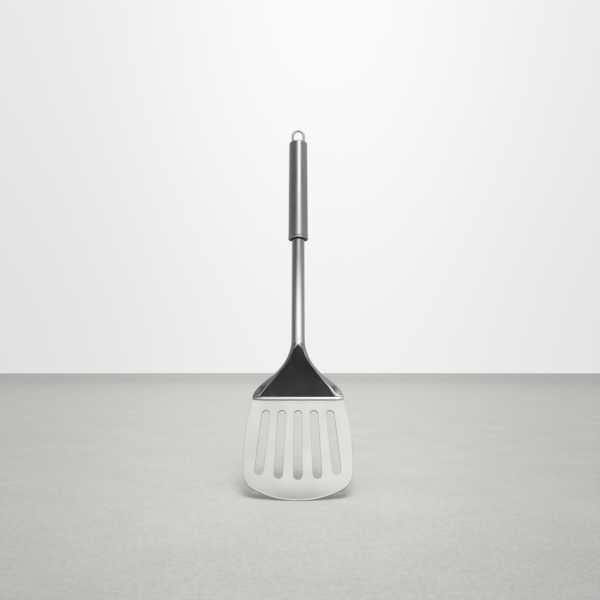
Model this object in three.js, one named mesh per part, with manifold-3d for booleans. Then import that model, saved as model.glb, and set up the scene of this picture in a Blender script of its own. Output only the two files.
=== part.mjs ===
// Slotted spatula (turner) in stainless steel, in millimetres, +Z up.
// The origin is the point where a hook carries the hanging loop; the spatula hangs below it.
// +X runs across the blade, and -Y is the side that carries the food.
import * as THREE from "three";
import { mergeVertices } from "three/addons/utils/BufferGeometryUtils.js";
import Module from "manifold-3d";

const wasm = await Module();
wasm.setup();

// Hanging loop, bent from round wire
const WIRE_DIAMETER = 2.3;
const LOOP_WIDTH = 13.1;
const LOOP_REACH = 11.9;
const WIRE_HEAD_DIAMETER = 3.9;
const WIRE_HEAD_HEIGHT = 1.4;

// Handle tube, its end cap and the plate that holds the loop
const HANDLE_LENGTH = 97;
const HANDLE_TOP_DIAMETER = 18.1;
const HANDLE_MOUTH_DIAMETER = 19;
const HANDLE_WALL = 0.8;
const TUBE_END_CHAMFER = 0.3;
const CAP_RIM_HEIGHT = 2.2;
const CAP_EDGE_RADIUS = 1.5;
const CAP_CROWN = 0.4;
const CAP_CEILING = 1.6;
const CAP_SKIRT_LENGTH = 5;
const CAP_SKIRT_WALL = 0.9;
const ANCHOR_THICKNESS = 1.6;

// Ferrule ring at the handle's mouth
const FERRULE_DIAMETER = 19.5;
const FERRULE_HEIGHT = 2.4;
const FERRULE_EDGE_RADIUS = 0.6;
const FERRULE_GROOVE = 0.5;
const FERRULE_RIM_WALL = 0.9;
const FERRULE_SLEEVE_WALL = 0.6;
const FERRULE_SLEEVE_LENGTH = 8;

// Plastic bushes that centre the neck in the handle
const MOUTH_BUSH_RECESS = 0.4;
const MOUTH_BUSH_FLANGE = 1.2;
const MOUTH_BUSH_LENGTH = 15;
const INNER_BUSH_LENGTH = 12;
const INNER_BUSH_STOP = 2;
const INNER_BUSH_STOP_BORE = 9;

// Neck and shoulder, pressed and rolled from one sheet
const NECK_DIAMETER = 12;
const NECK_SHEET = 1;
const NECK_LENGTH = 101.5;
const NECK_INSERT = 55;
const NECK_SEAM = 0.9;
const SHOULDER_HEIGHT = 47.2;
const SHOULDER_WIDTH = 82;
const SHOULDER_TILT = THREE.MathUtils.degToRad(5);
const SHOULDER_RIM_RADIUS = 3;
const NECK_FLANGE = 7;
const SHOULDER_FLANGE = 4;
const CORNER_FLANGE = 8;
const FLARE_RISE = 6.6;
const FLARE_NECK_PULL = 32;
const FLARE_CORNER_DROP = 15;
const FLARE_CORNER_TAPER = 3;
const CREASE_LENGTH = 4;
const BEND_RADIUS = 2.5;
const LIP_LENGTH = 1.2;
const LIP_CORNER = 1;

// Blade sheet and its slots
const BLADE_LEAN = THREE.MathUtils.degToRad(32);
const BLADE_LENGTH = 89.3;
const BLADE_BELLY = 4.75;
const BLADE_BELLY_AT = 43.5;
const BLADE_SHEET = 1.2;
const BLADE_EDGE_CHAMFER = 0.2;
const TIP_RADIUS = 81.5;
const TIP_CORNER_RADIUS = 17;
const TIP_BEVEL_WIDTH = 1.6;
const TIP_BEVEL_DEPTH = 0.7;
const SLOT_COUNT = 5;
const SLOT_WIDTH = 7.5;
const SLOT_TOP = 12.5;
const SLOT_TIP_MARGIN = 15.7;
const SLOT_TOP_SIDE_MARGIN = 11.7;
const SLOT_TIP_SIDE_MARGIN = 8.7;
const SLOT_ROW_RADIUS = 130;
const FLANGE_HEIGHT = 9;
const FLANGE_SIDE_MARGIN = 2;

// Clearance between neighbouring pieces
const CLEARANCE = 0.3;

// Fineness of the facets
const ROUND_FACETS = 36;
const ARC_STEPS = 5;
const WIRE_FACETS = 12;
const FLARE_ROWS = 24;
const HALF_ROW_STEPS = 12;
const OUTLINE_STEPS = 16;
const FLAT_STEP = 8;
const TURN_STEP = THREE.MathUtils.degToRad(18);

// Levels and radii that follow from the sizes above
const HANDLE_TOP_Z = -LOOP_REACH;
const TUBE_TOP_Z = HANDLE_TOP_Z - CAP_RIM_HEIGHT;
const TUBE_MOUTH_Z = HANDLE_TOP_Z - HANDLE_LENGTH;
const FERRULE_Z = TUBE_MOUTH_Z - FERRULE_HEIGHT;
const NECK_TOP_Z = FERRULE_Z + NECK_INSERT;
const APEX_Z = FERRULE_Z - NECK_LENGTH;
const NECK_RADIUS = NECK_DIAMETER / 2;
const LOOP_RADIUS = (LOOP_WIDTH - WIRE_DIAMETER) / 2;
const LEG_HOLE_RADIUS = WIRE_DIAMETER / 2 + CLEARANCE;
const ANCHOR_TOP_Z = TUBE_TOP_Z - CAP_SKIRT_LENGTH;
const ANCHOR_BOTTOM_Z = ANCHOR_TOP_Z - ANCHOR_THICKNESS;
const BUSH_BORE_RADIUS = NECK_RADIUS + CLEARANCE;
const BEND_ANGLE = SHOULDER_TILT + BLADE_LEAN;
const SHEET_STEP = NECK_SHEET + CLEARANCE;

// Materials as the eye reads them
const satinSteel = new THREE.MeshStandardMaterial({ color: 0xb9babc, roughness: 0.32, metalness: 1 });
const polishedSteel = new THREE.MeshStandardMaterial({ color: 0xc9cacc, roughness: 0.1, metalness: 1 });
const bladeSteel = new THREE.MeshStandardMaterial({ color: 0xd6d7d8, roughness: 0.4, metalness: 1 });
const plainSteel = new THREE.MeshStandardMaterial({ color: 0x9c9da0, roughness: 0.5, metalness: 1 });
const blackNylon = new THREE.MeshStandardMaterial({ color: 0x1b1c1e, roughness: 0.6, metalness: 0 });

// Closed solid of a geometry, ready to be joined or cut.
function solidOf(geometry) {
  const bare = geometry.clone();
  bare.deleteAttribute("normal");
  bare.deleteAttribute("uv");
  const merged = mergeVertices(bare, 1e-4);
  return new wasm.Manifold(
    new wasm.Mesh({
      numProp: 3,
      vertProperties: merged.attributes.position.array,
      triVerts: new Uint32Array(merged.index.array),
    }),
  );
}

// Geometry of a solid after joining and cutting.
function geometryOf(solid) {
  const mesh = solid.getMesh();
  const geometry = new THREE.BufferGeometry();
  geometry.setAttribute("position", new THREE.BufferAttribute(mesh.vertProperties, 3));
  geometry.setIndex(new THREE.BufferAttribute(mesh.triVerts, 1));
  geometry.computeVertexNormals();
  return geometry;
}

function named(name, geometry, material) {
  const mesh = new THREE.Mesh(geometry, material);
  mesh.name = name;
  return mesh;
}

// Solid of revolution about Z from (radius, height) points that close on themselves or on the axis.
function turned(points, facets = ROUND_FACETS) {
  const profile = points.map(([radius, height]) => new THREE.Vector2(radius, height));
  return new THREE.LatheGeometry(profile, facets).rotateX(Math.PI / 2);
}

// Tube wall between two radii and two levels.
function sleeve(inner, outer, bottom, top) {
  return turned([
    [inner, bottom],
    [outer, bottom],
    [outer, top],
    [inner, top],
    [inner, bottom],
  ]);
}

// Points of an arc in the (radius, height) plane, both ends included.
function arcPoints(radius, height, size, from, to) {
  return Array.from({ length: ARC_STEPS + 1 }, (_, i) => {
    const angle = from + ((to - from) * i) / ARC_STEPS;
    return [radius + size * Math.cos(angle), height + size * Math.sin(angle)];
  });
}

// Upright round bar used for pins and for drilling.
function bar(radius, x, bottom, top) {
  return new THREE.CylinderGeometry(radius, radius, top - bottom, WIRE_FACETS)
    .rotateX(Math.PI / 2)
    .translate(x, 0, (top + bottom) / 2);
}

// Outside radius of the tapered handle at a level.
function handleRadius(z) {
  const share = (z - TUBE_MOUTH_Z) / (TUBE_TOP_Z - TUBE_MOUTH_Z);
  return THREE.MathUtils.lerp(HANDLE_MOUTH_DIAMETER, HANDLE_TOP_DIAMETER, share) / 2;
}

function handleBoreRadius(z) {
  return handleRadius(z) - HANDLE_WALL;
}

function handleTube() {
  const mouth = handleRadius(TUBE_MOUTH_Z);
  const top = handleRadius(TUBE_TOP_Z);
  return turned([
    [mouth - HANDLE_WALL, TUBE_MOUTH_Z],
    [mouth - TUBE_END_CHAMFER, TUBE_MOUTH_Z],
    [mouth, TUBE_MOUTH_Z + TUBE_END_CHAMFER],
    [top, TUBE_TOP_Z],
    [top - HANDLE_WALL, TUBE_TOP_Z],
    [mouth - HANDLE_WALL, TUBE_MOUTH_Z],
  ]);
}

// Shallow domed cap with a skirt in the tube and two holes for the legs of the loop.
function endCap() {
  const rim = handleRadius(TUBE_TOP_Z);
  const skirt = handleBoreRadius(TUBE_TOP_Z) - CLEARANCE;
  const shoulderZ = HANDLE_TOP_Z - CAP_CROWN - CAP_EDGE_RADIUS;
  const cup = turned([
    [0, HANDLE_TOP_Z - CAP_CEILING],
    [skirt - CAP_SKIRT_WALL, HANDLE_TOP_Z - CAP_CEILING],
    [skirt - CAP_SKIRT_WALL, ANCHOR_TOP_Z],
    [skirt, ANCHOR_TOP_Z],
    [skirt, TUBE_TOP_Z],
    [rim, TUBE_TOP_Z],
    ...arcPoints(rim - CAP_EDGE_RADIUS, shoulderZ, CAP_EDGE_RADIUS, 0, Math.PI / 2),
    [(rim - CAP_EDGE_RADIUS) / 2, HANDLE_TOP_Z - CAP_CROWN / 4],
    [0, HANDLE_TOP_Z],
  ]);
  return geometryOf(drillForLegs(solidOf(cup), ANCHOR_TOP_Z, HANDLE_TOP_Z));
}

function drillForLegs(solid, bottom, top) {
  const left = solidOf(bar(LEG_HOLE_RADIUS, -LOOP_RADIUS, bottom - 1, top + 1));
  const right = solidOf(bar(LEG_HOLE_RADIUS, LOOP_RADIUS, bottom - 1, top + 1));
  return solid.subtract(left).subtract(right);
}

function anchorPlate() {
  const edge = handleBoreRadius(TUBE_TOP_Z) - CLEARANCE;
  const disc = turned([
    [0, ANCHOR_BOTTOM_Z],
    [edge, ANCHOR_BOTTOM_Z],
    [edge, ANCHOR_TOP_Z],
    [0, ANCHOR_TOP_Z],
  ]);
  return geometryOf(drillForLegs(solidOf(disc), ANCHOR_BOTTOM_Z, ANCHOR_TOP_Z));
}

// Wire bent to an inverted U, whose legs end in upset heads under the anchor plate.
class LoopPath extends THREE.Curve {
  getPoint(share, target = new THREE.Vector3()) {
    const arcZ = WIRE_DIAMETER / 2 - LOOP_RADIUS;
    const leg = arcZ - ANCHOR_BOTTOM_Z;
    const arc = Math.PI * LOOP_RADIUS;
    const run = share * (2 * leg + arc);
    if (run < leg) return target.set(-LOOP_RADIUS, 0, ANCHOR_BOTTOM_Z + run);
    if (run > leg + arc) return target.set(LOOP_RADIUS, 0, arcZ - (run - leg - arc));
    const angle = Math.PI - (run - leg) / LOOP_RADIUS;
    return target.set(LOOP_RADIUS * Math.cos(angle), 0, arcZ + LOOP_RADIUS * Math.sin(angle));
  }
}

function hangingLoop() {
  const section = new THREE.Shape().absarc(0, 0, WIRE_DIAMETER / 2, 0, 2 * Math.PI);
  const wire = new THREE.ExtrudeGeometry(section, {
    steps: 3 * WIRE_FACETS,
    curveSegments: WIRE_FACETS,
    extrudePath: new LoopPath(),
  });
  const headBottom = ANCHOR_BOTTOM_Z - WIRE_HEAD_HEIGHT;
  const heads = [-LOOP_RADIUS, LOOP_RADIUS].map((x) =>
    solidOf(bar(WIRE_HEAD_DIAMETER / 2, x, headBottom, ANCHOR_BOTTOM_Z)),
  );
  const stubs = [-LOOP_RADIUS, LOOP_RADIUS].map((x) =>
    solidOf(bar(WIRE_DIAMETER / 2, x, headBottom, ANCHOR_TOP_Z)),
  );
  return geometryOf([...heads, ...stubs].reduce((whole, piece) => whole.add(piece), solidOf(wire)));
}

// Ring that closes the handle's mouth: a rounded rim outside and a sleeve inside the tube.
function ferrule() {
  const outer = FERRULE_DIAMETER / 2;
  const rimInner = outer - FERRULE_RIM_WALL;
  const edge = FERRULE_EDGE_RADIUS;
  const sleeveOuter = handleBoreRadius(TUBE_MOUTH_Z) - CLEARANCE;
  const sleeveInner = sleeveOuter - FERRULE_SLEEVE_WALL;
  const seatZ = FERRULE_Z + MOUTH_BUSH_RECESS + MOUTH_BUSH_FLANGE;
  const grooveRadius = handleRadius(TUBE_MOUTH_Z) - TUBE_END_CHAMFER;
  return turned([
    [rimInner, FERRULE_Z],
    ...arcPoints(outer - edge, FERRULE_Z + edge, edge, -Math.PI / 2, 0),
    [outer, TUBE_MOUTH_Z - FERRULE_GROOVE],
    [grooveRadius, TUBE_MOUTH_Z],
    [sleeveOuter, TUBE_MOUTH_Z],
    [sleeveOuter, TUBE_MOUTH_Z + FERRULE_SLEEVE_LENGTH],
    [sleeveInner, TUBE_MOUTH_Z + FERRULE_SLEEVE_LENGTH],
    [sleeveInner, seatZ],
    [rimInner, seatZ],
    [rimInner, FERRULE_Z],
  ]);
}

// Flanged bush round the neck, seated in the ferrule.
function mouthBush() {
  const bottom = FERRULE_Z + MOUTH_BUSH_RECESS;
  const seatZ = bottom + MOUTH_BUSH_FLANGE;
  const flangeRadius = FERRULE_DIAMETER / 2 - FERRULE_RIM_WALL - CLEARANCE;
  const bodyRadius = handleBoreRadius(TUBE_MOUTH_Z) - FERRULE_SLEEVE_WALL - 2 * CLEARANCE;
  return turned([
    [BUSH_BORE_RADIUS, bottom],
    [flangeRadius, bottom],
    [flangeRadius, seatZ],
    [bodyRadius, seatZ],
    [bodyRadius, bottom + MOUTH_BUSH_LENGTH],
    [BUSH_BORE_RADIUS, bottom + MOUTH_BUSH_LENGTH],
    [BUSH_BORE_RADIUS, bottom],
  ]);
}

// Bush at the hidden end of the neck, with a lip that the neck stops against.
function innerBush() {
  const lipZ = NECK_TOP_Z + CLEARANCE;
  const top = lipZ + INNER_BUSH_STOP;
  const bottom = top - INNER_BUSH_LENGTH;
  return turned([
    [BUSH_BORE_RADIUS, bottom],
    [handleBoreRadius(bottom) - CLEARANCE, bottom],
    [handleBoreRadius(top) - CLEARANCE, top],
    [INNER_BUSH_STOP_BORE / 2, top],
    [INNER_BUSH_STOP_BORE / 2, lipZ],
    [BUSH_BORE_RADIUS, lipZ],
    [BUSH_BORE_RADIUS, bottom],
  ]);
}

// Half width of the neck and shoulder seen from the front, against height.
const bendTangent = BEND_RADIUS * Math.tan(BEND_ANGLE / 2);
const bendStartZ = APEX_Z - SHOULDER_HEIGHT + bendTangent * Math.cos(SHOULDER_TILT);
const flareStartZ = APEX_Z + FLARE_RISE;
const flare = new THREE.CubicBezierCurve(
  new THREE.Vector2(NECK_RADIUS, flareStartZ),
  new THREE.Vector2(NECK_RADIUS, flareStartZ - FLARE_NECK_PULL),
  new THREE.Vector2(SHOULDER_WIDTH / 2 - FLARE_CORNER_TAPER, bendStartZ + FLARE_CORNER_DROP),
  new THREE.Vector2(SHOULDER_WIDTH / 2, bendStartZ),
);

// Front of the sheet on the centre line: the neck, a soft crease at the apex, then the leaning face.
function frontY(z) {
  const below = Math.max(0, APEX_Z - z);
  const soft = below < CREASE_LENGTH ? below ** 2 / (2 * CREASE_LENGTH) : below - CREASE_LENGTH / 2;
  return -NECK_RADIUS + soft * Math.tan(SHOULDER_TILT);
}

// Cross-section numbers at a level: flat half width, rim radius, rim turn and the flange after it.
function sectionAt(halfWidth, z) {
  const share = THREE.MathUtils.clamp((flareStartZ - z) / (flareStartZ - bendStartZ), 0, 1);
  const ease = THREE.MathUtils.smoothstep;
  const closed = Math.PI - Math.asin(NECK_SEAM / 2 / NECK_RADIUS);
  const radius = THREE.MathUtils.lerp(NECK_RADIUS, SHOULDER_RIM_RADIUS, ease(share, 0.06, 0.22));
  const opened = THREE.MathUtils.lerp(closed, Math.PI / 2, ease(share, 0.04, 0.26));
  const turn = opened * (1 - ease(share, 0.62, 1));
  const tail =
    NECK_FLANGE * ease(share, 0.06, 0.24) +
    (SHOULDER_FLANGE - NECK_FLANGE) * ease(share, 0.24, 0.65) +
    (CORNER_FLANGE - SHOULDER_FLANGE) * ease(share, 0.7, 0.9);
  const bulge = turn >= Math.PI / 2 ? radius : radius * Math.sin(turn) + tail * Math.cos(turn);
  return { flat: halfWidth - bulge, radius, turn, tail };
}

// Point of a half section as (sideways, backwards), at a share of the way from the centre to the edge.
// Steps are spread by length on the flats and by angle round the rim.
function sectionPoint({ flat, radius, turn, tail }, share) {
  const flatSteps = flat / FLAT_STEP;
  const turnSteps = turn / TURN_STEP;
  const tailSteps = tail / FLAT_STEP;
  const step = share * (flatSteps + turnSteps + tailSteps);
  if (step < flatSteps) return [step * FLAT_STEP, 0];
  const angle = Math.min((step - flatSteps) * TURN_STEP, turn);
  const run = Math.max(0, step - flatSteps - turnSteps) * FLAT_STEP;
  const sideways = flat + radius * Math.sin(angle) + run * Math.cos(turn);
  return [sideways, radius * (1 - Math.cos(angle)) + run * Math.sin(turn)];
}

// One row of the sheet's outer face at a level, from the left edge across the front to the right edge.
function sheetRow(halfWidth, z, front) {
  const section = sectionAt(halfWidth, z);
  return Array.from({ length: 2 * HALF_ROW_STEPS + 1 }, (_, j) => {
    const place = j / HALF_ROW_STEPS - 1;
    const [sideways, backwards] = sectionPoint(section, Math.abs(place));
    return new THREE.Vector3(Math.sign(place) * sideways, front + backwards, z);
  });
}

// Rows of the whole neck and shoulder, from the hidden end of the neck to the lip on the blade.
function sheetRows() {
  const rows = [sheetRow(NECK_RADIUS, NECK_TOP_Z, frontY(NECK_TOP_Z))];
  for (let i = 0; i <= FLARE_ROWS; i += 1) {
    const { x, y } = flare.getPoint(i / FLARE_ROWS);
    rows.push(sheetRow(x, y, frontY(y)));
  }
  const startY = frontY(bendStartZ);
  const centreY = startY - BEND_RADIUS * Math.cos(SHOULDER_TILT);
  const centreZ = bendStartZ - BEND_RADIUS * Math.sin(SHOULDER_TILT);
  for (let i = 1; i <= ARC_STEPS; i += 1) {
    const angle = SHOULDER_TILT - (BEND_ANGLE * i) / ARC_STEPS;
    const z = centreZ + BEND_RADIUS * Math.sin(angle);
    rows.push(sheetRow(SHOULDER_WIDTH / 2, z, centreY + BEND_RADIUS * Math.cos(angle)));
  }
  const lipY = centreY + BEND_RADIUS * Math.cos(BLADE_LEAN);
  const lipZ = centreZ - BEND_RADIUS * Math.sin(BLADE_LEAN);
  for (let i = 1; i <= ARC_STEPS; i += 1) {
    const angle = (Math.PI * i) / (2 * ARC_STEPS);
    const run = LIP_LENGTH * Math.sin(angle);
    const width = SHOULDER_WIDTH / 2 - LIP_CORNER * (1 - Math.cos(angle));
    rows.push(sheetRow(width, lipZ - run * Math.cos(BLADE_LEAN), lipY - run * Math.sin(BLADE_LEAN)));
  }
  return rows;
}

// Outward normal of a grid of points, by differences along both directions.
function gridNormal(rows, i, j) {
  const step = (a, b) => new THREE.Vector3().subVectors(a, b);
  const down = step(rows[Math.min(i + 1, rows.length - 1)][j], rows[Math.max(i - 1, 0)][j]);
  const across = step(rows[i][Math.min(j + 1, rows[i].length - 1)], rows[i][Math.max(j - 1, 0)]);
  return down.cross(across).normalize();
}

// Sheet of even thickness under a grid of outer points, closed along its four edges.
function sheetFromRows(rows, thickness) {
  const width = rows[0].length;
  const height = rows.length;
  const outer = rows.flat();
  const inner = rows.flatMap((row, i) =>
    row.map((point, j) => point.clone().addScaledVector(gridNormal(rows, i, j), -thickness)),
  );
  const index = [];
  const face = (a, b, c, d) => index.push(a, b, c, a, c, d);
  const shift = outer.length;
  for (let i = 0; i < height - 1; i += 1) {
    for (let j = 0; j < width - 1; j += 1) {
      const corner = i * width + j;
      const quad = [corner, corner + width, corner + width + 1, corner + 1];
      face(...quad);
      face(...quad.map((k) => k + shift).reverse());
    }
  }
  const rim = [
    ...Array.from({ length: width - 1 }, (_, j) => j),
    ...Array.from({ length: height - 1 }, (_, i) => (i + 1) * width - 1),
    ...Array.from({ length: width - 1 }, (_, j) => height * width - 1 - j),
    ...Array.from({ length: height - 1 }, (_, i) => (height - 1 - i) * width),
  ];
  rim.forEach((from, k) => {
    const to = rim[(k + 1) % rim.length];
    face(from, to, to + shift, from + shift);
  });
  const geometry = new THREE.BufferGeometry().setFromPoints([...outer, ...inner]);
  geometry.setIndex(index);
  geometry.computeVertexNormals();
  return geometry;
}

// Half width of the blade at a run down from its bend: a long arc that bellies out past the shoulder.
const bladeHalfWidth = SHOULDER_WIDTH / 2 + BLADE_BELLY;
const sideRadius = (BLADE_BELLY_AT ** 2 + BLADE_BELLY ** 2) / (2 * BLADE_BELLY);
const sideCentre = new THREE.Vector2(bladeHalfWidth - sideRadius, -BLADE_BELLY_AT);
const tipCentre = new THREE.Vector2(0, TIP_RADIUS - BLADE_LENGTH);

function bladeHalfWidthAt(run) {
  return sideCentre.x + Math.sqrt(sideRadius ** 2 - (run + sideCentre.y) ** 2);
}

// Centre of the corner arc that touches the side arc and the tip arc from inside.
function cornerCentre() {
  const reachSide = sideRadius - TIP_CORNER_RADIUS;
  const reachTip = TIP_RADIUS - TIP_CORNER_RADIUS;
  const between = new THREE.Vector2().subVectors(tipCentre, sideCentre);
  const span = between.length();
  const along = (span ** 2 + reachSide ** 2 - reachTip ** 2) / (2 * span);
  const aside = Math.sqrt(reachSide ** 2 - along ** 2);
  const unit = between.normalize();
  const across = new THREE.Vector2(unit.y, -unit.x);
  return sideCentre.clone().addScaledVector(unit, along).addScaledVector(across, aside);
}

// Outline of the flat blade, with Y up the blade and its bend at Y = 0.
function bladeOutline(topRun) {
  const corner = cornerCentre();
  const sideAngle = Math.atan2(corner.y - sideCentre.y, corner.x - sideCentre.x);
  const tipAngle = Math.atan2(corner.y - tipCentre.y, corner.x - tipCentre.x);
  const topAngle = Math.asin((-topRun - sideCentre.y) / sideRadius);
  const shape = new THREE.Shape();
  shape.moveTo(-bladeHalfWidthAt(topRun), -topRun);
  shape.absarc(-sideCentre.x, sideCentre.y, sideRadius, Math.PI - topAngle, Math.PI - sideAngle, false);
  shape.absarc(-corner.x, corner.y, TIP_CORNER_RADIUS, Math.PI - sideAngle, Math.PI - tipAngle, false);
  shape.absarc(tipCentre.x, tipCentre.y, TIP_RADIUS, -Math.PI - tipAngle, tipAngle, false);
  shape.absarc(corner.x, corner.y, TIP_CORNER_RADIUS, tipAngle, sideAngle, false);
  shape.absarc(sideCentre.x, sideCentre.y, sideRadius, sideAngle, topAngle, false);
  shape.closePath();
  return shape;
}

// Round-ended slot between two end centres.
function slotPath(top, bottom) {
  const radius = SLOT_WIDTH / 2;
  const lean = Math.atan2(bottom.y - top.y, bottom.x - top.x);
  const path = new THREE.Path();
  path.absarc(top.x, top.y, radius, lean + Math.PI / 2, lean + 1.5 * Math.PI, false);
  path.absarc(bottom.x, bottom.y, radius, lean - Math.PI / 2, lean + Math.PI / 2, false);
  path.closePath();
  return path;
}

// Slots fan out evenly between the side margins, and end on a shallow arc near the tip.
function slotPaths() {
  const topRun = SLOT_TOP + SLOT_WIDTH / 2;
  const tipRun = BLADE_LENGTH - SLOT_TIP_MARGIN - SLOT_WIDTH / 2;
  const topReach = bladeHalfWidthAt(topRun) - SLOT_TOP_SIDE_MARGIN - SLOT_WIDTH / 2;
  const tipReach = bladeHalfWidthAt(tipRun) - SLOT_TIP_SIDE_MARGIN - SLOT_WIDTH / 2;
  return Array.from({ length: SLOT_COUNT }, (_, i) => {
    const place = SLOT_COUNT > 1 ? (2 * i) / (SLOT_COUNT - 1) - 1 : 0;
    const tipX = place * tipReach;
    const rise = SLOT_ROW_RADIUS - Math.sqrt(SLOT_ROW_RADIUS ** 2 - tipX ** 2);
    return slotPath(new THREE.Vector2(place * topReach, -topRun), new THREE.Vector2(tipX, rise - tipRun));
  });
}

// Bent strip that joins the blade to its flange, seen from the side: X up the blade, Y to the front.
function flangeProfile(bendRun) {
  const inner = BEND_RADIUS + SHEET_STEP;
  const outer = inner + BLADE_SHEET;
  const along = new THREE.Vector2(Math.cos(BEND_ANGLE), Math.sin(BEND_ANGLE));
  const back = new THREE.Vector2(along.y, -along.x).multiplyScalar(BLADE_SHEET);
  const end = along.clone().multiplyScalar(bendRun + FLANGE_HEIGHT);
  const shape = new THREE.Shape();
  shape.moveTo(-bendRun - BLADE_SHEET, -BLADE_SHEET);
  shape.absarc(-bendRun, inner, outer, -Math.PI / 2, BEND_ANGLE - Math.PI / 2, false);
  shape.lineTo(end.x + back.x, end.y + back.y);
  shape.lineTo(end.x, end.y);
  shape.absarc(-bendRun, inner, inner, BEND_ANGLE - Math.PI / 2, -Math.PI / 2, true);
  shape.lineTo(-bendRun - BLADE_SHEET, 0);
  shape.closePath();
  return shape;
}

// Flange trimmed to stay behind the flat of the shoulder, which narrows upwards.
function flangeSolid(bendRun) {
  const flatAt = (z) => {
    const point = flare.getPoints(4 * FLARE_ROWS).find((p) => p.y <= z);
    return sectionAt(point.x, z).flat - FLANGE_SIDE_MARGIN;
  };
  const baseHalf = flatAt(bendStartZ);
  const topHalf = flatAt(bendStartZ + FLANGE_HEIGHT);
  const strip = new THREE.ExtrudeGeometry(flangeProfile(bendRun), {
    depth: 2 * baseHalf,
    curveSegments: ARC_STEPS,
    bevelEnabled: false,
  });
  strip.translate(0, 0, -baseHalf);
  strip.applyMatrix4(
    new THREE.Matrix4().makeBasis(
      new THREE.Vector3(0, 1, 0),
      new THREE.Vector3(0, 0, 1),
      new THREE.Vector3(1, 0, 0),
    ),
  );
  const reach = (bendRun + FLANGE_HEIGHT) * Math.cos(BEND_ANGLE) + BLADE_SHEET;
  const trim = new THREE.Shape();
  trim.moveTo(-baseHalf, -2 * bendRun - BLADE_SHEET);
  trim.lineTo(baseHalf, -2 * bendRun - BLADE_SHEET);
  trim.lineTo(baseHalf, 0);
  trim.lineTo(topHalf, reach);
  trim.lineTo(-topHalf, reach);
  trim.lineTo(-baseHalf, 0);
  trim.closePath();
  const depth = 2 * (FLANGE_HEIGHT + BEND_RADIUS + SHEET_STEP);
  const prism = new THREE.ExtrudeGeometry(trim, { depth, bevelEnabled: false }).translate(0, 0, -depth / 4);
  return solidOf(strip).intersect(solidOf(prism));
}

// Ring that grinds a bevel along the tip, on the front of the blade.
function tipBevelCutter() {
  const inner = TIP_RADIUS - TIP_BEVEL_WIDTH;
  const outer = TIP_RADIUS + TIP_BEVEL_WIDTH;
  return turned([
    [inner, 0],
    [outer, -2 * TIP_BEVEL_DEPTH],
    [outer, BLADE_SHEET],
    [inner, BLADE_SHEET],
    [inner, 0],
  ], 4 * ROUND_FACETS).translate(0, tipCentre.y, 0);
}

function slottedBlade() {
  const bendRun = (BEND_RADIUS + SHEET_STEP) * Math.tan(BEND_ANGLE / 2);
  const outline = bladeOutline(bendRun);
  outline.holes.push(...slotPaths());
  const plate = new THREE.ExtrudeGeometry(outline, {
    depth: BLADE_SHEET - 2 * BLADE_EDGE_CHAMFER,
    curveSegments: OUTLINE_STEPS,
    bevelSize: BLADE_EDGE_CHAMFER,
    bevelThickness: BLADE_EDGE_CHAMFER,
    bevelOffset: -BLADE_EDGE_CHAMFER,
    bevelSegments: 1,
  }).translate(0, 0, BLADE_EDGE_CHAMFER - BLADE_SHEET);
  return geometryOf(solidOf(plate).subtract(solidOf(tipBevelCutter())).add(flangeSolid(bendRun)));
}

// The blade's own frame: its bend corner, with the flat of the blade in its XY plane.
const shoulderFaceNormal = new THREE.Vector3(0, -Math.cos(SHOULDER_TILT), -Math.sin(SHOULDER_TILT));
const bladeFaceNormal = new THREE.Vector3(0, -Math.cos(BLADE_LEAN), Math.sin(BLADE_LEAN));
const cornerZ = APEX_Z - SHOULDER_HEIGHT;
const bladeFrame = new THREE.Group();
bladeFrame.position
  .set(0, frontY(cornerZ), cornerZ)
  .addScaledVector(
    shoulderFaceNormal.clone().add(bladeFaceNormal),
    -SHEET_STEP / (1 + shoulderFaceNormal.dot(bladeFaceNormal)),
  );
bladeFrame.rotation.x = Math.PI / 2 - BLADE_LEAN;
bladeFrame.add(named("slotted_blade", slottedBlade(), bladeSteel));

const spatula = new THREE.Group();
spatula.name = "slotted_spatula";
spatula.add(
  named("hanging_loop", hangingLoop(), polishedSteel),
  named("loop_anchor_plate", anchorPlate(), plainSteel),
  named("handle_end_cap", endCap(), satinSteel),
  named("handle_tube", handleTube(), satinSteel),
  named("handle_ferrule", ferrule(), satinSteel),
  named("mouth_bush", mouthBush(), blackNylon),
  named("inner_bush", innerBush(), blackNylon),
  named("neck_and_shoulder", sheetFromRows(sheetRows(), NECK_SHEET), polishedSteel),
  bladeFrame,
);

export default spatula;
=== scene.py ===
"""Stainless steel slotted spatula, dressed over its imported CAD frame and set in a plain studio."""

import math

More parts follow.
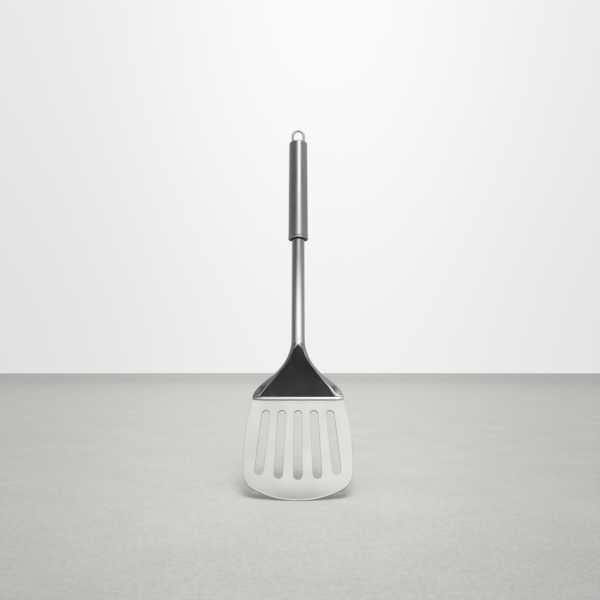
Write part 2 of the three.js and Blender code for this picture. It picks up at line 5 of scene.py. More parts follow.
import bmesh
import bpy
import numpy as np
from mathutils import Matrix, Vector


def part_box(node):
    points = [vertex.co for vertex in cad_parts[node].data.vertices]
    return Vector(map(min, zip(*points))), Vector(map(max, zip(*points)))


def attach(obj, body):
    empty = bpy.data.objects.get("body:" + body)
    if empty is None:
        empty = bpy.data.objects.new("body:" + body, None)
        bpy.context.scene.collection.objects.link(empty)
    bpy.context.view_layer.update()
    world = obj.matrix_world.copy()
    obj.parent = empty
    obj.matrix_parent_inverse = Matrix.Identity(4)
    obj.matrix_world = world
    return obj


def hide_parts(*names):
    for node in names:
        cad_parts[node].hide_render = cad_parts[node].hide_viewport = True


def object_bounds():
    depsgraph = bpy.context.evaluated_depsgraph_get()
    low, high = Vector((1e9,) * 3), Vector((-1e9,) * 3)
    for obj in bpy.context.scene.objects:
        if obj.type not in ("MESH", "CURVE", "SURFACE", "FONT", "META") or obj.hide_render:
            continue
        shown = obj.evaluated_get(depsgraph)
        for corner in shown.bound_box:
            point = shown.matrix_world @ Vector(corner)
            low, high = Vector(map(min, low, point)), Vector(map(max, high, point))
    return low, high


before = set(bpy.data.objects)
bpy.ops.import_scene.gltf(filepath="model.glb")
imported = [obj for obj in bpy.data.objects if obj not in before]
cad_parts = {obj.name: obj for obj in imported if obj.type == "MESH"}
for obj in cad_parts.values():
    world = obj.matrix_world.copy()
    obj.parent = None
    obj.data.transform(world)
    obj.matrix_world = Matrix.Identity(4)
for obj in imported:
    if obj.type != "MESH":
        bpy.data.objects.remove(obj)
CAD_BOX = [list(corner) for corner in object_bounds()]

bl_info = {
    "name": "Slotted spatula",
    "version": (1, 0, 0),
    "blender": (4, 5, 0),
    "location": "3D View > Sidebar > Spatula",
    "description": "Builds a stainless steel slotted spatula and its studio",
    "category": "Add Mesh",
}

MM = 0.001
DEGREE = math.radians(1)
RAMP = "ShaderNodeMapRange"
MATHS = "ShaderNodeMath"
VECTOR_MATHS = "ShaderNodeVectorMath"
SOFT = {"interpolation_type": "SMOOTHSTEP"}
METAL = {"Metallic": 1.0}
ARC_STEPS = 10
LOOP_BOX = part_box("hanging_loop")
CAP_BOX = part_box("handle_end_cap")
TUBE_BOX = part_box("handle_tube")
FERRULE_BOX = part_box("handle_ferrule")
NECK_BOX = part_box("neck_and_shoulder")

# Shares of the flare, from 0 at the round neck to 1 at the bend, over which the sheet's section changes.
ROLL_OPENS = (0.04, 0.26)
FOLD_TIGHTENS = (0.06, 0.2)
RIM_NARROWS = (0.06, 0.22)
WALL_STARTS = (0.06, 0.24)
WALL_LOWERS = (0.24, 0.48)
WALL_ENDS = (0.48, 0.7)
CORNER_OPENS = (0.48, 0.82)
CORNER_WIDENS = (0.48, 0.95)
LIP_FLATTENS = (0.86, 1.0)


def length(name, description, default):
    """A size in metres that a user may change."""
    return bpy.props.FloatProperty(
        name=name, description=description, default=default, min=0.0, precision=5, unit="LENGTH"
    )


def level(name, description, default):
    """A height in metres below or above the hook point."""
    return bpy.props.FloatProperty(
        name=name, description=description, default=default, precision=5, unit="LENGTH"
    )


def angle(name, description, degrees):
    """An angle given in degrees and kept in radians."""
    return bpy.props.FloatProperty(
        name=name, description=description, default=math.radians(degrees), subtype="ANGLE"
    )


def light(name, description, default):
    """A brightness that a user may change; a white wall in full light is 1."""
    return bpy.props.FloatProperty(name=name, description=description, default=default, min=0.0)


def share(name, description, default):
    """A share between 0 and 1 that a user may change."""
    return bpy.props.FloatProperty(
        name=name, description=description, default=default, min=0.0, max=1.0, subtype="FACTOR"
    )


def linear(hex_colour):
    """sRGB hex value to a linear RGBA colour."""
    values = np.array([int(hex_colour[i : i + 2], 16) for i in (1, 3, 5)]) / 255
    curved = np.where(values <= 0.04045, values / 12.92, ((values + 0.055) / 1.055) ** 2.4)
    return (*curved.tolist(), 1.0)


def colour(name, description, hex_colour):
    """A colour that a user may change."""
    return bpy.props.FloatVectorProperty(
        name=name,
        description=description,
        default=linear(hex_colour),
        size=4,
        min=0.0,
        max=1.0,
        subtype="COLOR",
    )


class SpatulaHandleSettings(bpy.types.PropertyGroup):
    """Sizes of the hanging loop, cap, tube and ferrule"""

    wire_diameter: length("Wire", "Diameter of the hanging loop's wire", 2.3 * MM)
    loop_width: length("Loop width", "Width over the hanging loop", 13.1 * MM)
    loop_foot: level("Loop foot", "Height of the lower ends of the loop", LOOP_BOX[0].z)
    wire_head: length("Wire head", "Diameter of the upset heads on the loop's legs", 3.9 * MM)
    wire_head_height: length("Wire head height", "Height of the upset heads", 1.4 * MM)
    top: level("Handle top", "Height of the middle of the end cap", CAP_BOX[1].z)
    tube_top: level("Tube top", "Height of the tube's upper end", TUBE_BOX[1].z)
    tube_mouth: level("Tube mouth", "Height of the tube's lower end", TUBE_BOX[0].z)
    top_diameter: length("Top diameter", "Diameter of the tube at its upper end", 18.1 * MM)
    mouth_diameter: length("Mouth diameter", "Diameter of the tube at its mouth", 19 * MM)
    wall: length("Wall", "Wall of the tube", 0.8 * MM)
    end_chamfer: length("End chamfer", "Chamfer on the tube's lower edge", 0.3 * MM)
    cap_edge: length("Cap edge", "Rounding of the cap's edge", 1.5 * MM)
    cap_crown: length("Cap crown", "Rise of the cap towards its middle", 0.4 * MM)
    cap_foot: level("Cap foot", "Height of the lower end of the cap's skirt", CAP_BOX[0].z)
    skirt_gap: length("Skirt gap", "Gap between the cap's skirt and the tube", 0.3 * MM)
    skirt_wall: length("Skirt wall", "Wall of the cap's skirt", 0.9 * MM)
    cap_ceiling: length("Cap ceiling", "Thickness of the cap in its middle", 1.6 * MM)
    ferrule_foot: level("Ferrule foot", "Height of the ferrule's underside", FERRULE_BOX[0].z)
    ferrule_top: level("Ferrule top", "Height of the ferrule's hidden sleeve", FERRULE_BOX[1].z)
    ferrule_diameter: length("Ferrule", "Diameter of the ferrule ring", 19.5 * MM)
    ferrule_edge: length("Ferrule edge", "Rounding of the ferrule's lower edge", 0.6 * MM)
    ferrule_groove: length("Groove", "Height of the groove above the ferrule", 0.5 * MM)
    ferrule_rim: length("Ferrule rim", "Width of the ring's underside", 0.6 * MM)
    ferrule_seat: length("Ferrule seat", "Depth of the seat for the bush", 1.6 * MM)
    sleeve_wall: length("Sleeve wall", "Wall of the ferrule's sleeve", 0.6 * MM)
    satin: colour("Satin steel", "Colour of the brushed handle", "#c6c6c5")


class SpatulaNeckSettings(bpy.types.PropertyGroup):
    """Sizes of the rolled neck and the pressed shoulder"""

    top_diameter: length("Neck top diameter", "Diameter of the neck inside the handle", 12 * MM)
    diameter: length("Neck", "Diameter of the neck where it opens", 12.6 * MM)
    sheet: length("Sheet", "Thickness of the neck's sheet", 1 * MM)
    top: level("Neck top", "Height of the neck's hidden upper end", NECK_BOX[1].z)
    visible: length("Neck length", "From the ferrule's underside to the shoulder's apex", 100.4 * MM)
    seam: length("Seam", "Gap along the back of the rolled neck", 0.9 * MM)
    shoulder_height: length("Shoulder height", "From the apex to the blade's bend", 48.3 * MM)
    shoulder_width: length("Shoulder width", "Width of the shoulder at the blade", 82 * MM)
    tilt: angle("Tilt", "Lean of the shoulder's face off the vertical", 4.9)
    rim: length("Rim", "Width of the rolled rim, seen from the front", 3 * MM)
    rim_fold: angle("Rim fold", "How far the sheet turns in the tight fold beside the face", 26)
    fold_share: share("Fold share", "Radius of the tight fold as a share of the rim's roll", 0.09)
    neck_flange: length("Neck flange", "Side wall where the neck opens", 5.6 * MM)
    shoulder_flange: length("Shoulder flange", "Side wall half way down the shoulder", 2.8 * MM)
    corner_rim: length("Corner rim", "Width of the rim at the lower corners", 9.5 * MM)
    corner_turn: angle("Corner turn", "How far the rim turns back at the lower corners", 30)
    lip_turn: angle("Lip turn", "How far the rim still turns back at the lip", 5)
    flare_rise: length("Flare rise", "Height above the apex where the neck starts to widen", 5.5 * MM)
    neck_pull: length("Neck pull", "How far the neck's line holds straight into the flare", 32 * MM)
    corner_drop: length("Corner drop", "Height of the flare's lower turn", 15 * MM)
    corner_taper: length("Corner taper", "Narrowing over the flare's lower turn", 3 * MM)
    crease: length("Crease", "Length of the soft crease at the apex", 1.2 * MM)
    crease_reach: length("Crease reach", "How far the crease drops away from the apex", 6 * MM)
    apex_arch: length("Apex arch", "Width squared over the drop of the arched crease", 6.4 * MM)
    bend_radius: length("Bend radius", "Radius of the bend at the blade", 2.5 * MM)
    lip: length("Lip", "Length of the lip that laps over the blade", 1.2 * MM)
    lip_nose: length("Lip nose", "How far the lip's end rounds down to the blade", 0.6 * MM)
    lip_corner: length("Lip corner", "Rounding of the lip's corners", 1 * MM)
    edge: length("Edge", "How far the rounded edge of the sheet stands out", 0.35 * MM)
    polished: colour("Polished steel", "Colour of the polished neck", "#d0d0cf")


class SpatulaBladeSettings(bpy.types.PropertyGroup):
    """Sizes of the slotted blade"""

    lean: angle("Lean", "Lean of the blade off the vertical", 32)
    length: length("Blade length", "From the bend to the tip", 89.15 * MM)
    belly: length("Belly", "How far the sides swell past the shoulder", 4.74 * MM)
    belly_at: length("Belly place", "Distance of the widest place from the bend", 43.5 * MM)
    sheet: length("Sheet", "Thickness of the blade", 1.2 * MM)
    tip_radius: length("Tip radius", "Radius of the tip's arc", 81.5 * MM)
    corner_radius: length("Corner radius", "Radius of the tip's corners", 17 * MM)
    grind_width: length("Grind width", "Width of the soft grind along the tip", 17 * MM)
    grind_depth: length("Grind depth", "Depth of the grind at the edge", 0.5 * MM)
    slot_width: length("Slot width", "Width of a slot", 7.3 * MM)
    slot_top: length("Slot top", "Distance of the slots from the bend", 12.5 * MM)
    slot_tip_margin: length("Slot tip margin", "Distance of the middle slot from the tip", 15.7 * MM)
    slot_top_side: length("Slot side above", "Margin beside the outer slots near the bend", 11.7 * MM)
    slot_tip_side: length("Slot side below", "Margin beside the outer slots near the tip", 8.7 * MM)
    slot_row_radius: length("Slot row radius", "Radius of the row of lower slot ends", 130 * MM)
    slot_count: bpy.props.IntProperty(name="Slots", description="Number of slots", default=5, min=3, max=9)
    gap: length("Lap gap", "Gap between the lip and the blade", 0.3 * MM)
    flange_height: length("Flange height", "Height of the flange behind the shoulder", 9 * MM)
    flange_margin: length("Flange margin", "Gap between the flange and the shoulder's rim", 2 * MM)
    edge: length("Edge", "Rounding of the blade's edges", 0.15 * MM)
    satin: colour("Blade steel", "Colour of the satin blade", "#d8d8d6")
    # Painted shade: the darker tone that the blade's colour takes towards the tip.
    ground: colour("Ground tip", "Tint of the scratches at the ground tip", "#c4c4c3")


class SpatulaStudioSettings(bpy.types.PropertyGroup):
    """Floor, light, reflectors and camera"""

    floor: colour("Floor", "Colour of the floor", "#d1d1ce")
    backdrop: colour("Backdrop", "Colour of the wall", "#f4f4f5")
    floor_reach: length("Floor reach", "How far the floor runs", 40.0)
    window_turn: angle("Window turn", "Compass place of the window, to the right of the camera", 12)
    window_spread: angle("Window spread", "Half width of the low window, with its soft edge", 76)
    window_light: light("Window light", "Brightness of the window near the ground", 1.6)
    left_light: light("Left light", "Brightness of the left side", 0.22)
    right_light: light("Right light", "Brightness of the right side", 0.42)
    wall_light: light("Wall light", "Brightness of the wall behind the spatula", 0.6)
    wall_left: angle("Wall left", "Compass place where the left side starts to run into the wall", 85)
    wall_right: angle("Wall right", "Compass place where the right side starts to run into the wall", 105)
    ceiling_light: light("Ceiling light", "Brightness of the ceiling in front", 1.32)
    ceiling_back: light("Ceiling back", "Brightness of the ceiling behind", 0.5)
    lamp_light: light("Lamp light", "Brightness of the strip lamp high in front", 1.6)
    lamp_spread: angle("Lamp spread", "Half width of the strip lamp, with its soft edge", 26)
    key_light: light("Key light", "Strength of the soft key light, in watts per square metre", 1.4)
    key_size: angle("Key size", "Width of the key light seen from the floor", 30)
    key_tilt: angle("Key tilt", "How far the key light stands in front of overhead", 27)
    key_side: angle("Key side", "How far the key light stands to the right of overhead", 5)
    cloth_start: length("Cloth start", "Distance of the dark cloth from the spatula", 250 * MM)
    cloth_reach: length("Cloth reach", "Distance of the cloth's far edge", 560 * MM)
    cloth_rise: length("Cloth rise", "How high the cloth turns up", 70 * MM)
    cloth_left: angle("Cloth left", "How far the cloth runs to the left of the camera", 70)
    cloth_right: angle("Cloth right", "How far the cloth runs to the right of the camera", 13)
    card: colour("Cards", "Colour of the grey cards", "#dadada")
    card_height: length("Card height", "Height of the grey cards behind the cloth", 150 * MM)
    card_start: angle("Card start", "Compass place where the right card starts", 45)
    card_end: angle("Card end", "Compass place where the right card ends", 100)
    lens: bpy.props.FloatProperty(
        name="Lens", description="Focal length in millimetres", default=27.0, min=1.0
    )
    camera_side: level("Camera side", "Sideways place of the camera", 1.76 * MM)
    camera_back: length("Camera distance", "Distance of the camera in front of the handle", 418.7 * MM)
    camera_height: level("Camera height", "Height of the camera", -237.2 * MM)
    camera_pitch: angle("Camera pitch", "Upward tilt of the camera", 9.09)


def add_node(tree, kind, settings=None, inputs=None):
    """Adds one node with its settings; an input takes a value, a socket or a node's first output."""
    made = tree.nodes.new(kind)
    for name, value in (settings or {}).items():
        setattr(made, name, value)
    for name, value in (inputs or {}).items():
        if isinstance(value, bpy.types.Node):
            tree.links.new(value.outputs[0], made.inputs[name])
        elif isinstance(value, bpy.types.NodeSocket):
            tree.links.new(value, made.inputs[name])
        else:
            made.inputs[name].default_value = value
    return made


def new_tree(block):
    """Empty node tree of a material or a world."""
    block.use_nodes = True
    block.node_tree.nodes.clear()
    return block.node_tree


def limits(start, end, low, high):
    """Inputs that map the range from start to end onto the range from low to high."""
    return {"From Min": start, "From Max": end, "To Min": low, "To Max": high}


def grain(tree, cell, detail=3.0):
    """Noise on Object coordinates, with cells of the given size along each axis in metres."""
    place_on = add_node(tree, "ShaderNodeTexCoord").outputs["Object"]
    scaled = add_node(tree, VECTOR_MATHS, {"operation": "DIVIDE"}, {0: place_on, 1: cell})
    noise = {"Vector": scaled, "Scale": 1.0, "Detail": detail, "Roughness": 0.6}
    return add_node(tree, "ShaderNodeTexNoise", None, noise)


def grained(tree, tone, darkest, fine, broad, roughness, depth):
    """Shader inputs of a grained surface.

    The fine grain darkens the colour down to a share of itself and stands up by a depth in metres, and the
    broad one moves the roughness between two limits.
    """
    dark = (*(darkest * channel for channel in tone[:3]), 1.0)
    shade = add_node(tree, "ShaderNodeMix", {"data_type": "RGBA"}, {0: fine, 6: dark, 7: tone})
    gloss = add_node(tree, RAMP, None, {"Value": broad, **limits(0.3, 0.7, *roughness)})
    bump = add_node(tree, "ShaderNodeBump", None, {"Height": fine, "Distance": depth})
    return {"Base Color": shade.outputs[2], "Roughness": gloss, "Normal": bump}


def surfaced(material, inputs):
    """Closes a material's tree with one Principled shader."""
    shader = add_node(material.node_tree, "ShaderNodeBsdfPrincipled", None, inputs)
    add_node(material.node_tree, "ShaderNodeOutputMaterial", None, {"Surface": shader})
    return material


def plain_finish(name, tone, darkest, fine_cell, broad_cell, roughness, depth, settings):
    """Material with a fine and a broad grain and nothing else."""
    material = bpy.data.materials.new(name)
    tree = new_tree(material)
    fine, broad = grain(tree, fine_cell), grain(tree, broad_cell)
    return surfaced(material, {**settings, **grained(tree, tone, darkest, fine, broad, roughness, depth)})


def drawn_wire_steel():
    """Stainless wire, bright drawn: a tight mirror with faint die lines that run up the legs."""
    # Die lines are hair fine, so they are drawn 0.25 mm wide and shallow.
    lines = (0.25 * MM, 0.25 * MM, 12 * MM)
    haze = (3 * MM, 3 * MM, 6 * MM)
    name, tone = "stainless_steel_bright_drawn", linear("#cbcbca")
    return plain_finish(name, tone, 0.9, lines, haze, (0.1, 0.18), 0.0005 * MM, METAL)


def satin_tube_steel(steel):
    """Stainless steel brushed round the tube on a lathe.

    Fine rings blur reflections up and down, and keep them narrow round the tube.
    """
    material = bpy.data.materials.new("stainless_steel_brushed_round")
    tree = new_tree(material)
    # Real rings are about 0.05 mm apart, too fine to show, so they are drawn 0.35 mm apart.
    rings = grain(tree, (20 * MM, 20 * MM, 0.35 * MM))
    smears = grain(tree, (6 * MM, 6 * MM, 22 * MM))
    surface = grained(tree, steel, 0.86, rings, smears, (0.17, 0.22), 0.004 * MM)
    around = add_node(tree, "ShaderNodeTangent", {"direction_type": "UV_MAP", "uv_map": "around"})
    brushed = {"Anisotropic": 0.95, "Anisotropic Rotation": 0.25, "Tangent": around}
    return surfaced(material, {**METAL, **brushed, **surface})


def polished_steel(steel):
    """Stainless steel buffed to a mirror.

    Clear reflections with a faint haze, and long buffing marks that only just break them up.
    """
    # Buffing marks are hair fine, so they are drawn 0.5 mm wide and very shallow.
    marks = (0.5 * MM, 0.5 * MM, 30 * MM)
    haze = (9 * MM, 9 * MM, 14 * MM)
    name = "stainless_steel_polished"
    return plain_finish(name, steel, 0.95, marks, haze, (0.07, 0.14), 0.0002 * MM, METAL)


def satin_sheet_steel(steel, tip_shade_tone):
    """Stainless steel sheet with a fine even satin finish.

    A pale, soft sheen with hairlines along the blade. Towards the tip the ground attribute darkens its
    colour: painted shade.
    """
    material = bpy.data.materials.new("stainless_steel_satin_sheet")
    tree = new_tree(material)
    # Hairlines of 0.1 mm are drawn 0.4 mm wide so that they show.
    lines = grain(tree, (0.4 * MM, 40 * MM, 60 * MM))
    patches = grain(tree, (18 * MM, 18 * MM, 18 * MM))
    surface = grained(tree, steel, 0.93, lines, patches, (0.38, 0.46), 0.003 * MM)
    # Painted shade: the ground attribute blends the darker tone in towards the tip.
    ground = add_node(tree, "ShaderNodeAttribute", {"attribute_name": "ground"})
    multiply = {"data_type": "RGBA", "blend_type": "MULTIPLY"}
    tones = {0: ground.outputs["Fac"], 6: surface["Base Color"], 7: tip_shade_tone}
    tip_painted_shade = add_node(tree, "ShaderNodeMix", multiply, tones)
    return surfaced(material, {**METAL, **surface, "Base Color": tip_painted_shade.outputs[2]})


def sheared_steel_painted_shade():
    """Cut edge of stainless sheet: dull and streaked, and dark with painted shade, so that it draws the
    slots' outlines as walls in shade.
    """
    streaks = (0.6 * MM, 0.6 * MM, 0.6 * MM)
    name, tone = "stainless_steel_sheared_painted_shade", linear("#4e4f51")
    return plain_finish(name, tone, 0.7, streaks, streaks, (0.42, 0.6), 0.01 * MM, METAL)


def rolled_steel():
    """Stainless steel strip as it leaves the mill: grey, even and dull, with a faint cloudiness."""
    clouds = (3 * MM, 3 * MM, 3 * MM)
    name, tone = "stainless_steel_as_rolled", linear("#b0b1b3")
    return plain_finish(name, tone, 0.8, clouds, clouds, (0.42, 0.58), 0.002 * MM, METAL)


def moulded_nylon():
    """Black nylon from a spark-eroded mould: a fine matte grain that takes broad soft highlights."""
    # Mould grain of about 0.15 mm.
    pits = (0.15 * MM, 0.15 * MM, 0.15 * MM)
    name, tone = "nylon_black_moulded", linear("#222326")
    return plain_finish(name, tone, 0.8, pits, pits, (0.5, 0.64), 0.01 * MM, {"IOR": 1.53})


def grid_faces(rows, columns, close_rows=False, close_columns=False):
    """Quads of a grid of points numbered row by row, optionally joined end to end either way."""
    i = np.arange(rows if close_rows else rows - 1)
    j = np.arange(columns if close_columns else columns - 1)
    first, second = np.meshgrid(i, j, indexing="ij")
    above, below = first * columns, (first + 1) % rows * columns
    beside = (second + 1) % columns
    corners = [above + second, below + second, below + beside, above + beside]
    return np.stack(corners, axis=-1).reshape(-1, 4)


def put_mesh(name, points, faces, material, smooth_angle=40.0):
    """Makes an object at the origin from whole arrays of points (metres) and quads."""
    mesh = bpy.data.meshes.new(name)
    mesh.from_pydata(points.reshape(-1, 3).tolist(), [], faces.tolist())
    mesh.materials.append(material)
    piece = bpy.data.objects.new(name, mesh)
    bpy.context.scene.collection.objects.link(piece)
    smooth(piece, smooth_angle)
    return piece


def smooth(piece, smooth_angle):
    """Shades a mesh smooth, except along edges sharper than an angle in degrees."""
    piece.data.shade_smooth()
    piece.data.set_sharp_from_angle(angle=math.radians(smooth_angle))


def weld(piece, smooth_angle=40.0):
    """Merges points that lie on each other along seams and at poles."""
    whole = bmesh.new()
    whole.from_mesh(piece.data)
    bmesh.ops.remove_doubles(whole, verts=whole.verts, dist=0.0005 * MM)
    whole.to_mesh(piece.data)
    whole.free()
    smooth(piece, smooth_angle)


def place(piece, node):
    """The piece moves with the spatula and stands for a CAD node, which it hides."""
    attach(piece, "root")
    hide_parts(node)


def arc(centre_x, centre_y, radius, start, end, count):
    """Points on a circle between two angles in degrees."""
    turn = np.radians(np.linspace(start, end, count))
    return np.stack([centre_x + radius * np.cos(turn), centre_y + radius * np.sin(turn)], axis=-1)


def turned(name, profile, material, closed=True, facets=128):
    """Surface of revolution: each (radius, height) point of a profile runs round the Z axis.

    A closed profile is a ring; an open one starts and ends on the axis. The UV map runs round the piece.
    """
    turn = np.pi / 2 + np.linspace(0, 2 * np.pi, facets + 1)
    radius, height = profile[:, :1], profile[:, 1:]
    points = np.stack(np.broadcast_arrays(radius * np.cos(turn), radius * np.sin(turn), height), axis=-1)
    faces = grid_faces(len(profile), facets + 1, close_rows=closed)[:, ::-1]
    piece = put_mesh(name, points, faces, material)
    run = np.linspace(0, 1, len(profile))[:, None]
    around = np.stack(np.broadcast_arrays(turn / (2 * np.pi), run), axis=-1).reshape(-1, 2)
    layer = piece.data.uv_layers.new(name="around")
    layer.data.foreach_set("uv", around[faces.ravel()].astype(np.float32).ravel())
    weld(piece, smooth_angle=35.0)
    return piece


def loop_surface(handle, steps=160, facets=40):
    """Circle carried along an inverted U; its radius grows to a head at both ends of the path.

    The path goes up one leg, round a half circle and down the other leg, at even steps of length. The first
    and the last circle shrink to a point and close the heads.
    """
    wire = handle.wire_diameter / 2
    bow = handle.loop_width / 2 - wire
    foot = handle.loop_foot
    leg = wire - bow - foot
    head = handle.wire_head_height
    total = 2 * leg + np.pi * bow
    bevel = 0.2 * wire
    ends = np.array([0, 0, bevel, head, head])
    middle = np.linspace(head + bevel, total - head - bevel, steps)
    run = np.concatenate([ends, middle, total - ends[::-1]])
    wide = handle.wire_head / 2
    head_sizes = np.array([0, wide - bevel, wide, wide, wire])
    size = np.concatenate([head_sizes, np.full(steps, wire), head_sizes[::-1]])
    turn = np.clip((run - leg) / bow, 0, np.pi)
    past = np.clip(run - leg - np.pi * bow, 0, None)
    before = np.clip(run, None, leg)
    x = -bow * np.cos(turn)
    z = foot + before + bow * np.sin(turn) - past
    round_wire = np.linspace(0, 2 * np.pi, facets, endpoint=False)
    outward = np.stack([-np.cos(turn), np.zeros_like(turn), np.sin(turn)], axis=-1)[:, None, :]
    sideways = np.array([0.0, 1.0, 0.0])
    circle = np.cos(round_wire)[:, None] * outward + np.sin(round_wire)[:, None] * sideways
    centre = np.stack([x, np.zeros_like(x), z], axis=-1)[:, None, :]
    return centre + size[:, None, None] * circle


class SPATULA_OT_hanging_loop(bpy.types.Operator):
    """Bends the wire hanging loop"""

    bl_idname = "spatula.hanging_loop"
    bl_label = "Hanging loop"

    def execute(self, context):
        points = loop_surface(context.scene.spatula_handle)
        faces = grid_faces(*points.shape[:2], close_columns=True)
        piece = put_mesh("hanging_loop_wire", points, faces, drawn_wire_steel())
        weld(piece)
        place(piece, "hanging_loop")
        return {"FINISHED"}


class SPATULA_OT_handle(bpy.types.Operator):
    """Turns the handle's cap, tube and ferrule"""

    bl_idname = "spatula.handle"
    bl_label = "Handle"

    def execute(self, context):
        handle = context.scene.spatula_handle
        steel = satin_tube_steel(tuple(handle.satin))
        cap = turned("handle_cap_turned", cap_profile(handle), steel, closed=False)
        place(cap, "handle_end_cap")
        tube = turned("handle_tube_turned", tube_profile(handle), steel)
        place(tube, "handle_tube")
        ferrule = turned("handle_ferrule_turned", ferrule_profile(handle), steel)
        place(ferrule, "handle_ferrule")
        return {"FINISHED"}


def cap_profile(handle, crown_steps=8):
    """Outline of the cap from axis to axis: ceiling, skirt, rim, rounded edge and a low crown."""
    rim = handle.top_diameter / 2
    skirt = rim - handle.wall - handle.skirt_gap
    inner = skirt - handle.skirt_wall
    ceiling = handle.top - handle.cap_ceiling
    shoulder = handle.top - handle.cap_crown - handle.cap_edge
    edge = arc(rim - handle.cap_edge, shoulder, handle.cap_edge, 0, 90, ARC_STEPS)
    crown_x = np.linspace(edge[-1, 0], 0, crown_steps)[1:]
    crown = np.stack([crown_x, handle.top - handle.cap_crown * (crown_x / edge[-1, 0]) ** 2], axis=-1)
    below = [[0, ceiling], [inner, ceiling], [inner, handle.cap_foot], [skirt, handle.cap_foot]]
    return np.concatenate([below, [[skirt, handle.tube_top], [rim, handle.tube_top]], edge, crown])


def tube_profile(handle, steps=24):
    """Closed outline of the tapered tube wall, with a chamfer on its lower outer edge."""
    mouth = handle.mouth_diameter / 2
    top = handle.top_diameter / 2
    heights = np.linspace(handle.tube_mouth + handle.end_chamfer, handle.tube_top, steps)
    share = (heights - handle.tube_mouth) / (handle.tube_top - handle.tube_mouth)
    outside = np.stack([mouth + (top - mouth) * share, heights], axis=-1)
    foot = [[mouth - handle.wall, handle.tube_mouth], [mouth - handle.end_chamfer, handle.tube_mouth]]
    return np.concatenate([foot, outside, [[top - handle.wall, handle.tube_top]]])


def ferrule_profile(handle):
    """Closed outline of the ferrule: rounded ring, groove, hidden sleeve and the bush's seat."""
    outer = handle.ferrule_diameter / 2
    rim = outer - handle.ferrule_rim
    edge = handle.ferrule_edge
    sleeve = handle.mouth_diameter / 2 - handle.wall - handle.skirt_gap
    inner = sleeve - handle.sleeve_wall
    seat = handle.ferrule_foot + handle.ferrule_seat
    rounded = arc(outer - edge, handle.ferrule_foot + edge, edge, -90, 0, ARC_STEPS)
    groove = [
        [outer, handle.tube_mouth - handle.ferrule_groove],
        [handle.mouth_diameter / 2 - handle.end_chamfer, handle.tube_mouth],
        [sleeve, handle.tube_mouth],
        [sleeve, handle.ferrule_top],
        [inner, handle.ferrule_top],
        [inner, seat],
        [rim, seat],
        [rim, handle.ferrule_foot],
    ]
    return np.concatenate([rounded, groove])


class SPATULA_OT_hidden_fittings(bpy.types.Operator):
    """Finishes the bushes and the anchor plate"""

    bl_idname = "spatula.hidden_fittings"
    bl_label = "Bushes and anchor plate"

    def execute(self, context):
        nylon = moulded_nylon()
        finishes = {"mouth_bush": nylon, "inner_bush": nylon, "loop_anchor_plate": rolled_steel()}
        for node, finish in finishes.items():
            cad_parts[node].data.materials.clear()
            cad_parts[node].data.materials.append(finish)
        return {"FINISHED"}


def ease(value, start, end):
    """Smooth step from 0 at start to 1 at end."""
    share = np.clip((value - start) / (end - start), 0, 1)
    return share * share * (3 - 2 * share)


def apex_height(neck, handle):
    """Height of the shoulder's apex."""
    return handle.ferrule_foot - neck.visible


def bend_height(neck, blade, apex):
    """Height where the shoulder's face runs into its bend."""
    tangent = neck.bend_radius * math.tan((neck.tilt + blade.lean) / 2)
    return apex - neck.shoulder_height + tangent * math.cos(neck.tilt)


def front_depth(neck, apex, height):
    """Y of the sheet's front on the centre line: straight neck, parabola over the crease, leaning face."""
    below = np.clip(apex - height, 0, None)
    soft = np.where(below < neck.crease, below**2 / (2 * neck.crease), below - neck.crease / 2)
    return -neck.top_diameter / 2 + soft * np.tan(neck.tilt)


def rim_bow(fold, fold_turn, radius, bent):
    """Sideways and backwards way round the rim at an angle: a tight fold first, then the wider roll."""
    folded = np.minimum(bent, fold_turn)
    sideways = fold * np.sin(folded) + radius * (np.sin(bent) - np.sin(folded))
    backwards = fold * (1 - np.cos(folded)) + radius * (np.cos(folded) - np.cos(bent))
    return sideways, backwards


def section_numbers(neck, half_width, share):
    """Flat half width, fold radius and turn, roll radius and turn, and side wall at a share of the flare.

    The rim's width seen from the front is given, and the radius of its roll follows from that and its turn.
    Where the rim opens out, its fold takes the same part of the turn.
    """
    closed = np.pi - np.arcsin(neck.seam / neck.diameter)
    opened = closed + (np.pi / 2 - closed) * ease(share, *ROLL_OPENS)
    corner_turn = neck.corner_turn + (neck.lip_turn - neck.corner_turn) * ease(share, *LIP_FLATTENS)
    turn = opened + (corner_turn - opened) * ease(share, *CORNER_OPENS)
    rim = (
        half_width
        + (neck.rim - half_width) * ease(share, *RIM_NARROWS)
        + (neck.corner_rim - neck.rim) * ease(share, *CORNER_WIDENS)
    )
    tail = (
        neck.neck_flange * ease(share, *WALL_STARTS)
        + (neck.shoulder_flange - neck.neck_flange) * ease(share, *WALL_LOWERS)
        - neck.shoulder_flange * ease(share, *WALL_ENDS)
    )
    tight = 1 - (1 - neck.fold_share) * ease(share, *FOLD_TIGHTENS)
    widest = np.minimum(turn, np.pi / 2)
    fold_turn = np.minimum(neck.rim_fold, turn * neck.rim_fold / neck.corner_turn)
    radius = (rim - tail * np.cos(widest)) / (np.sin(widest) - (1 - tight) * np.sin(fold_turn))
    return half_width - rim, tight * radius, fold_turn, radius, turn, tail


